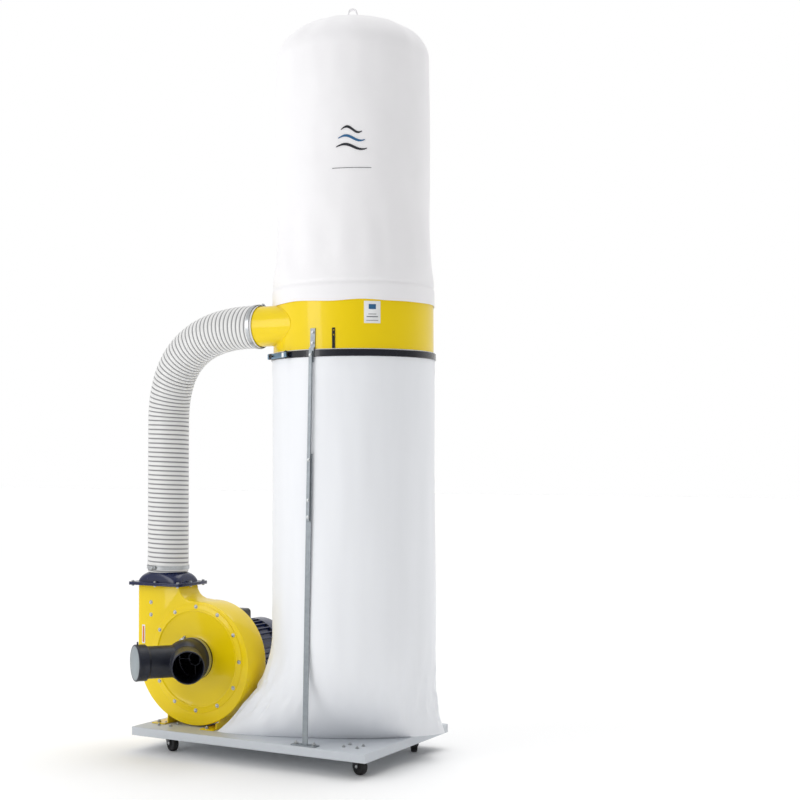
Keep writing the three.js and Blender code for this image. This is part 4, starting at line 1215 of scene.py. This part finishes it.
def clamps():
    a = radians(-125)
    worm_clamp("inlet", (FAN.x, COVER_FRONT - 16 * MM, FAN.z), (0, 1, 0), (cos(a), 0, -sin(a)),
               66.2 * MM, "inlet_screw")
    a = radians(-100)
    worm_clamp("hose_lower", (DUCT.x, DUCT.y, 0.572), UP, (cos(a), sin(a), 0), 68 * MM, "hose_lower_screw")
    a = radians(150)
    worm_clamp("hose_upper", (HOSE_END - 12 * MM, STUB.y, STUB.z), (1, 0, 0), (0, sin(a), -cos(a)),
               68 * MM, "hose_upper_screw")


# ---- motor ----

def motor():
    centre = from_fan(0, 0, 0)
    front = low("motor_front_bell").y
    body_front, body_back = low("motor_body").y, high("motor_body").y
    end = high("fan_cowl").y
    bell = mm((28, 0), (84, 0), (90, 8), (92, 13), base=front)
    bell += mm((92, -1), (88, -0.3), (30, -0.3), base=body_front)
    finished(turned("front_bell", bell, centre, BACK, 96), MOTOR_NAVY, "painted_navy",
             replaces=["motor_front_bell"])
    rear = mm((14, 1), (89, 0.3), (91, 2), (90, 8), (44, 12), (40, 19), (14, 19), base=body_back)
    finished(turned("rear_bell", rear, centre, BACK, 96), MOTOR_NAVY, "painted_navy",
             replaces=["motor_rear_bell"])
    finned_body(centre, body_front, body_back)
    cowl = mm((91.6, 0.6), (94, 0.3), base=body_back)
    cowl += mm((94, -12), (92.5, -6), (88, -1.5), (82, 0), (0, 0), (0, -2), (81, -2), (88, -5),
               (91.6, -13), base=end)
    shell = turned("cowl_shell", cowl, centre, BACK, 96)
    slots = []
    for ring, count in ((34 * MM, 12), (52 * MM, 18), (70 * MM, 24)):
        for i in range(count):
            a = 2 * pi * i / count
            place = centre + Vector((ring * cos(a), end - 0.01, ring * sin(a)))
            slots.append(rod("hole", place, place + BACK * 0.02, 5 * MM, 0, 14))
    cut(shell, joined("holes", *slots))
    finished(shell, MOTOR_NAVY, "painted_navy", replaces=["fan_cowl"], smooth=30)
    screws = [(centre + Vector((94 * MM * cos(a), end - 40 * MM, 94 * MM * sin(a))),
               Vector((cos(a), 0, sin(a)))) for a in [radians(45 + 90 * i) for i in range(4)]]
    finished(copies("cowl_screws", pan_bolt(4.5 * MM), screws), ZINC, "zinc_steel")


def finned_body(centre, start, end):
    fins = 32
    fin = ((0, 86), (0.06, 86.3), (0.13, 94.4), (0.19, 95), (0.27, 95), (0.33, 94.4), (0.40, 86.3),
           (0.46, 86))
    points = []
    for i in range(fins):
        for turn, r in fin:
            a = 2 * pi * (i + turn) / fins
            points.append(centre + Vector((r * MM * cos(a), start, r * MM * sin(a))))
    body = extruded("finned_body", points, BACK * (end - start))
    cut(body, rod("bore", centre + BACK * (start - 0.01), centre + BACK * (end + 0.01), 80 * MM, 0, 64))
    finished(body, MOTOR_NAVY, "painted_navy", replaces=["motor_body"], smooth=30)


def switch():
    eased("switch_box", BLACK_PLASTIC, 2.2 * MM)
    eased("cable_gland", BLACK_PLASTIC, 0.5 * MM)
    face = high("switch_box").y
    for name, material, slot in (("start", GREEN, "button_green"), ("stop", RED, "button_red")):
        centre = middle(f"{name}_button")
        origin = Vector((centre.x, face, centre.z))
        profile = mm((0, -8), (8.9, -8), (8.9, 3), (8.3, 4.4), (7, 5), (3, 4.6), (0, 4.5))
        finished(turned(f"{name}_button_cap", profile, origin, BACK, 48), material, slot, name,
                 [f"{name}_button"])
        bezel = pipe(f"{name}_bezel", origin, BACK, 12 * MM, 9.6 * MM, 0, 1.8 * MM, 0.5 * MM, 48)
        finished(bezel, BLACK_PLASTIC, "black_plastic")


def inner_pieces():
    for node, material in (("stator", CAST), ("rotor_core", CAST), ("front_bearing", ZINC),
                           ("rear_bearing", ZINC), ("motor_shaft", ZINC), ("cooling_fan", BLACK_PLASTIC)):
        eased(node, material, 0.3 * MM)


studio()
base_plate()
casters()
filter_ring()
band_and_latch()
legs()
collection_bag()
filter_bag()
hanging_loop()
emblem()
labels()
fan_housing()
fan_feet()
inlet_guard()
impeller()
wye_inlet()
inlet_cap()
outlet_hood()
hose()
clamps()
motor()
switch()
inner_pieces()

nothing_selected()
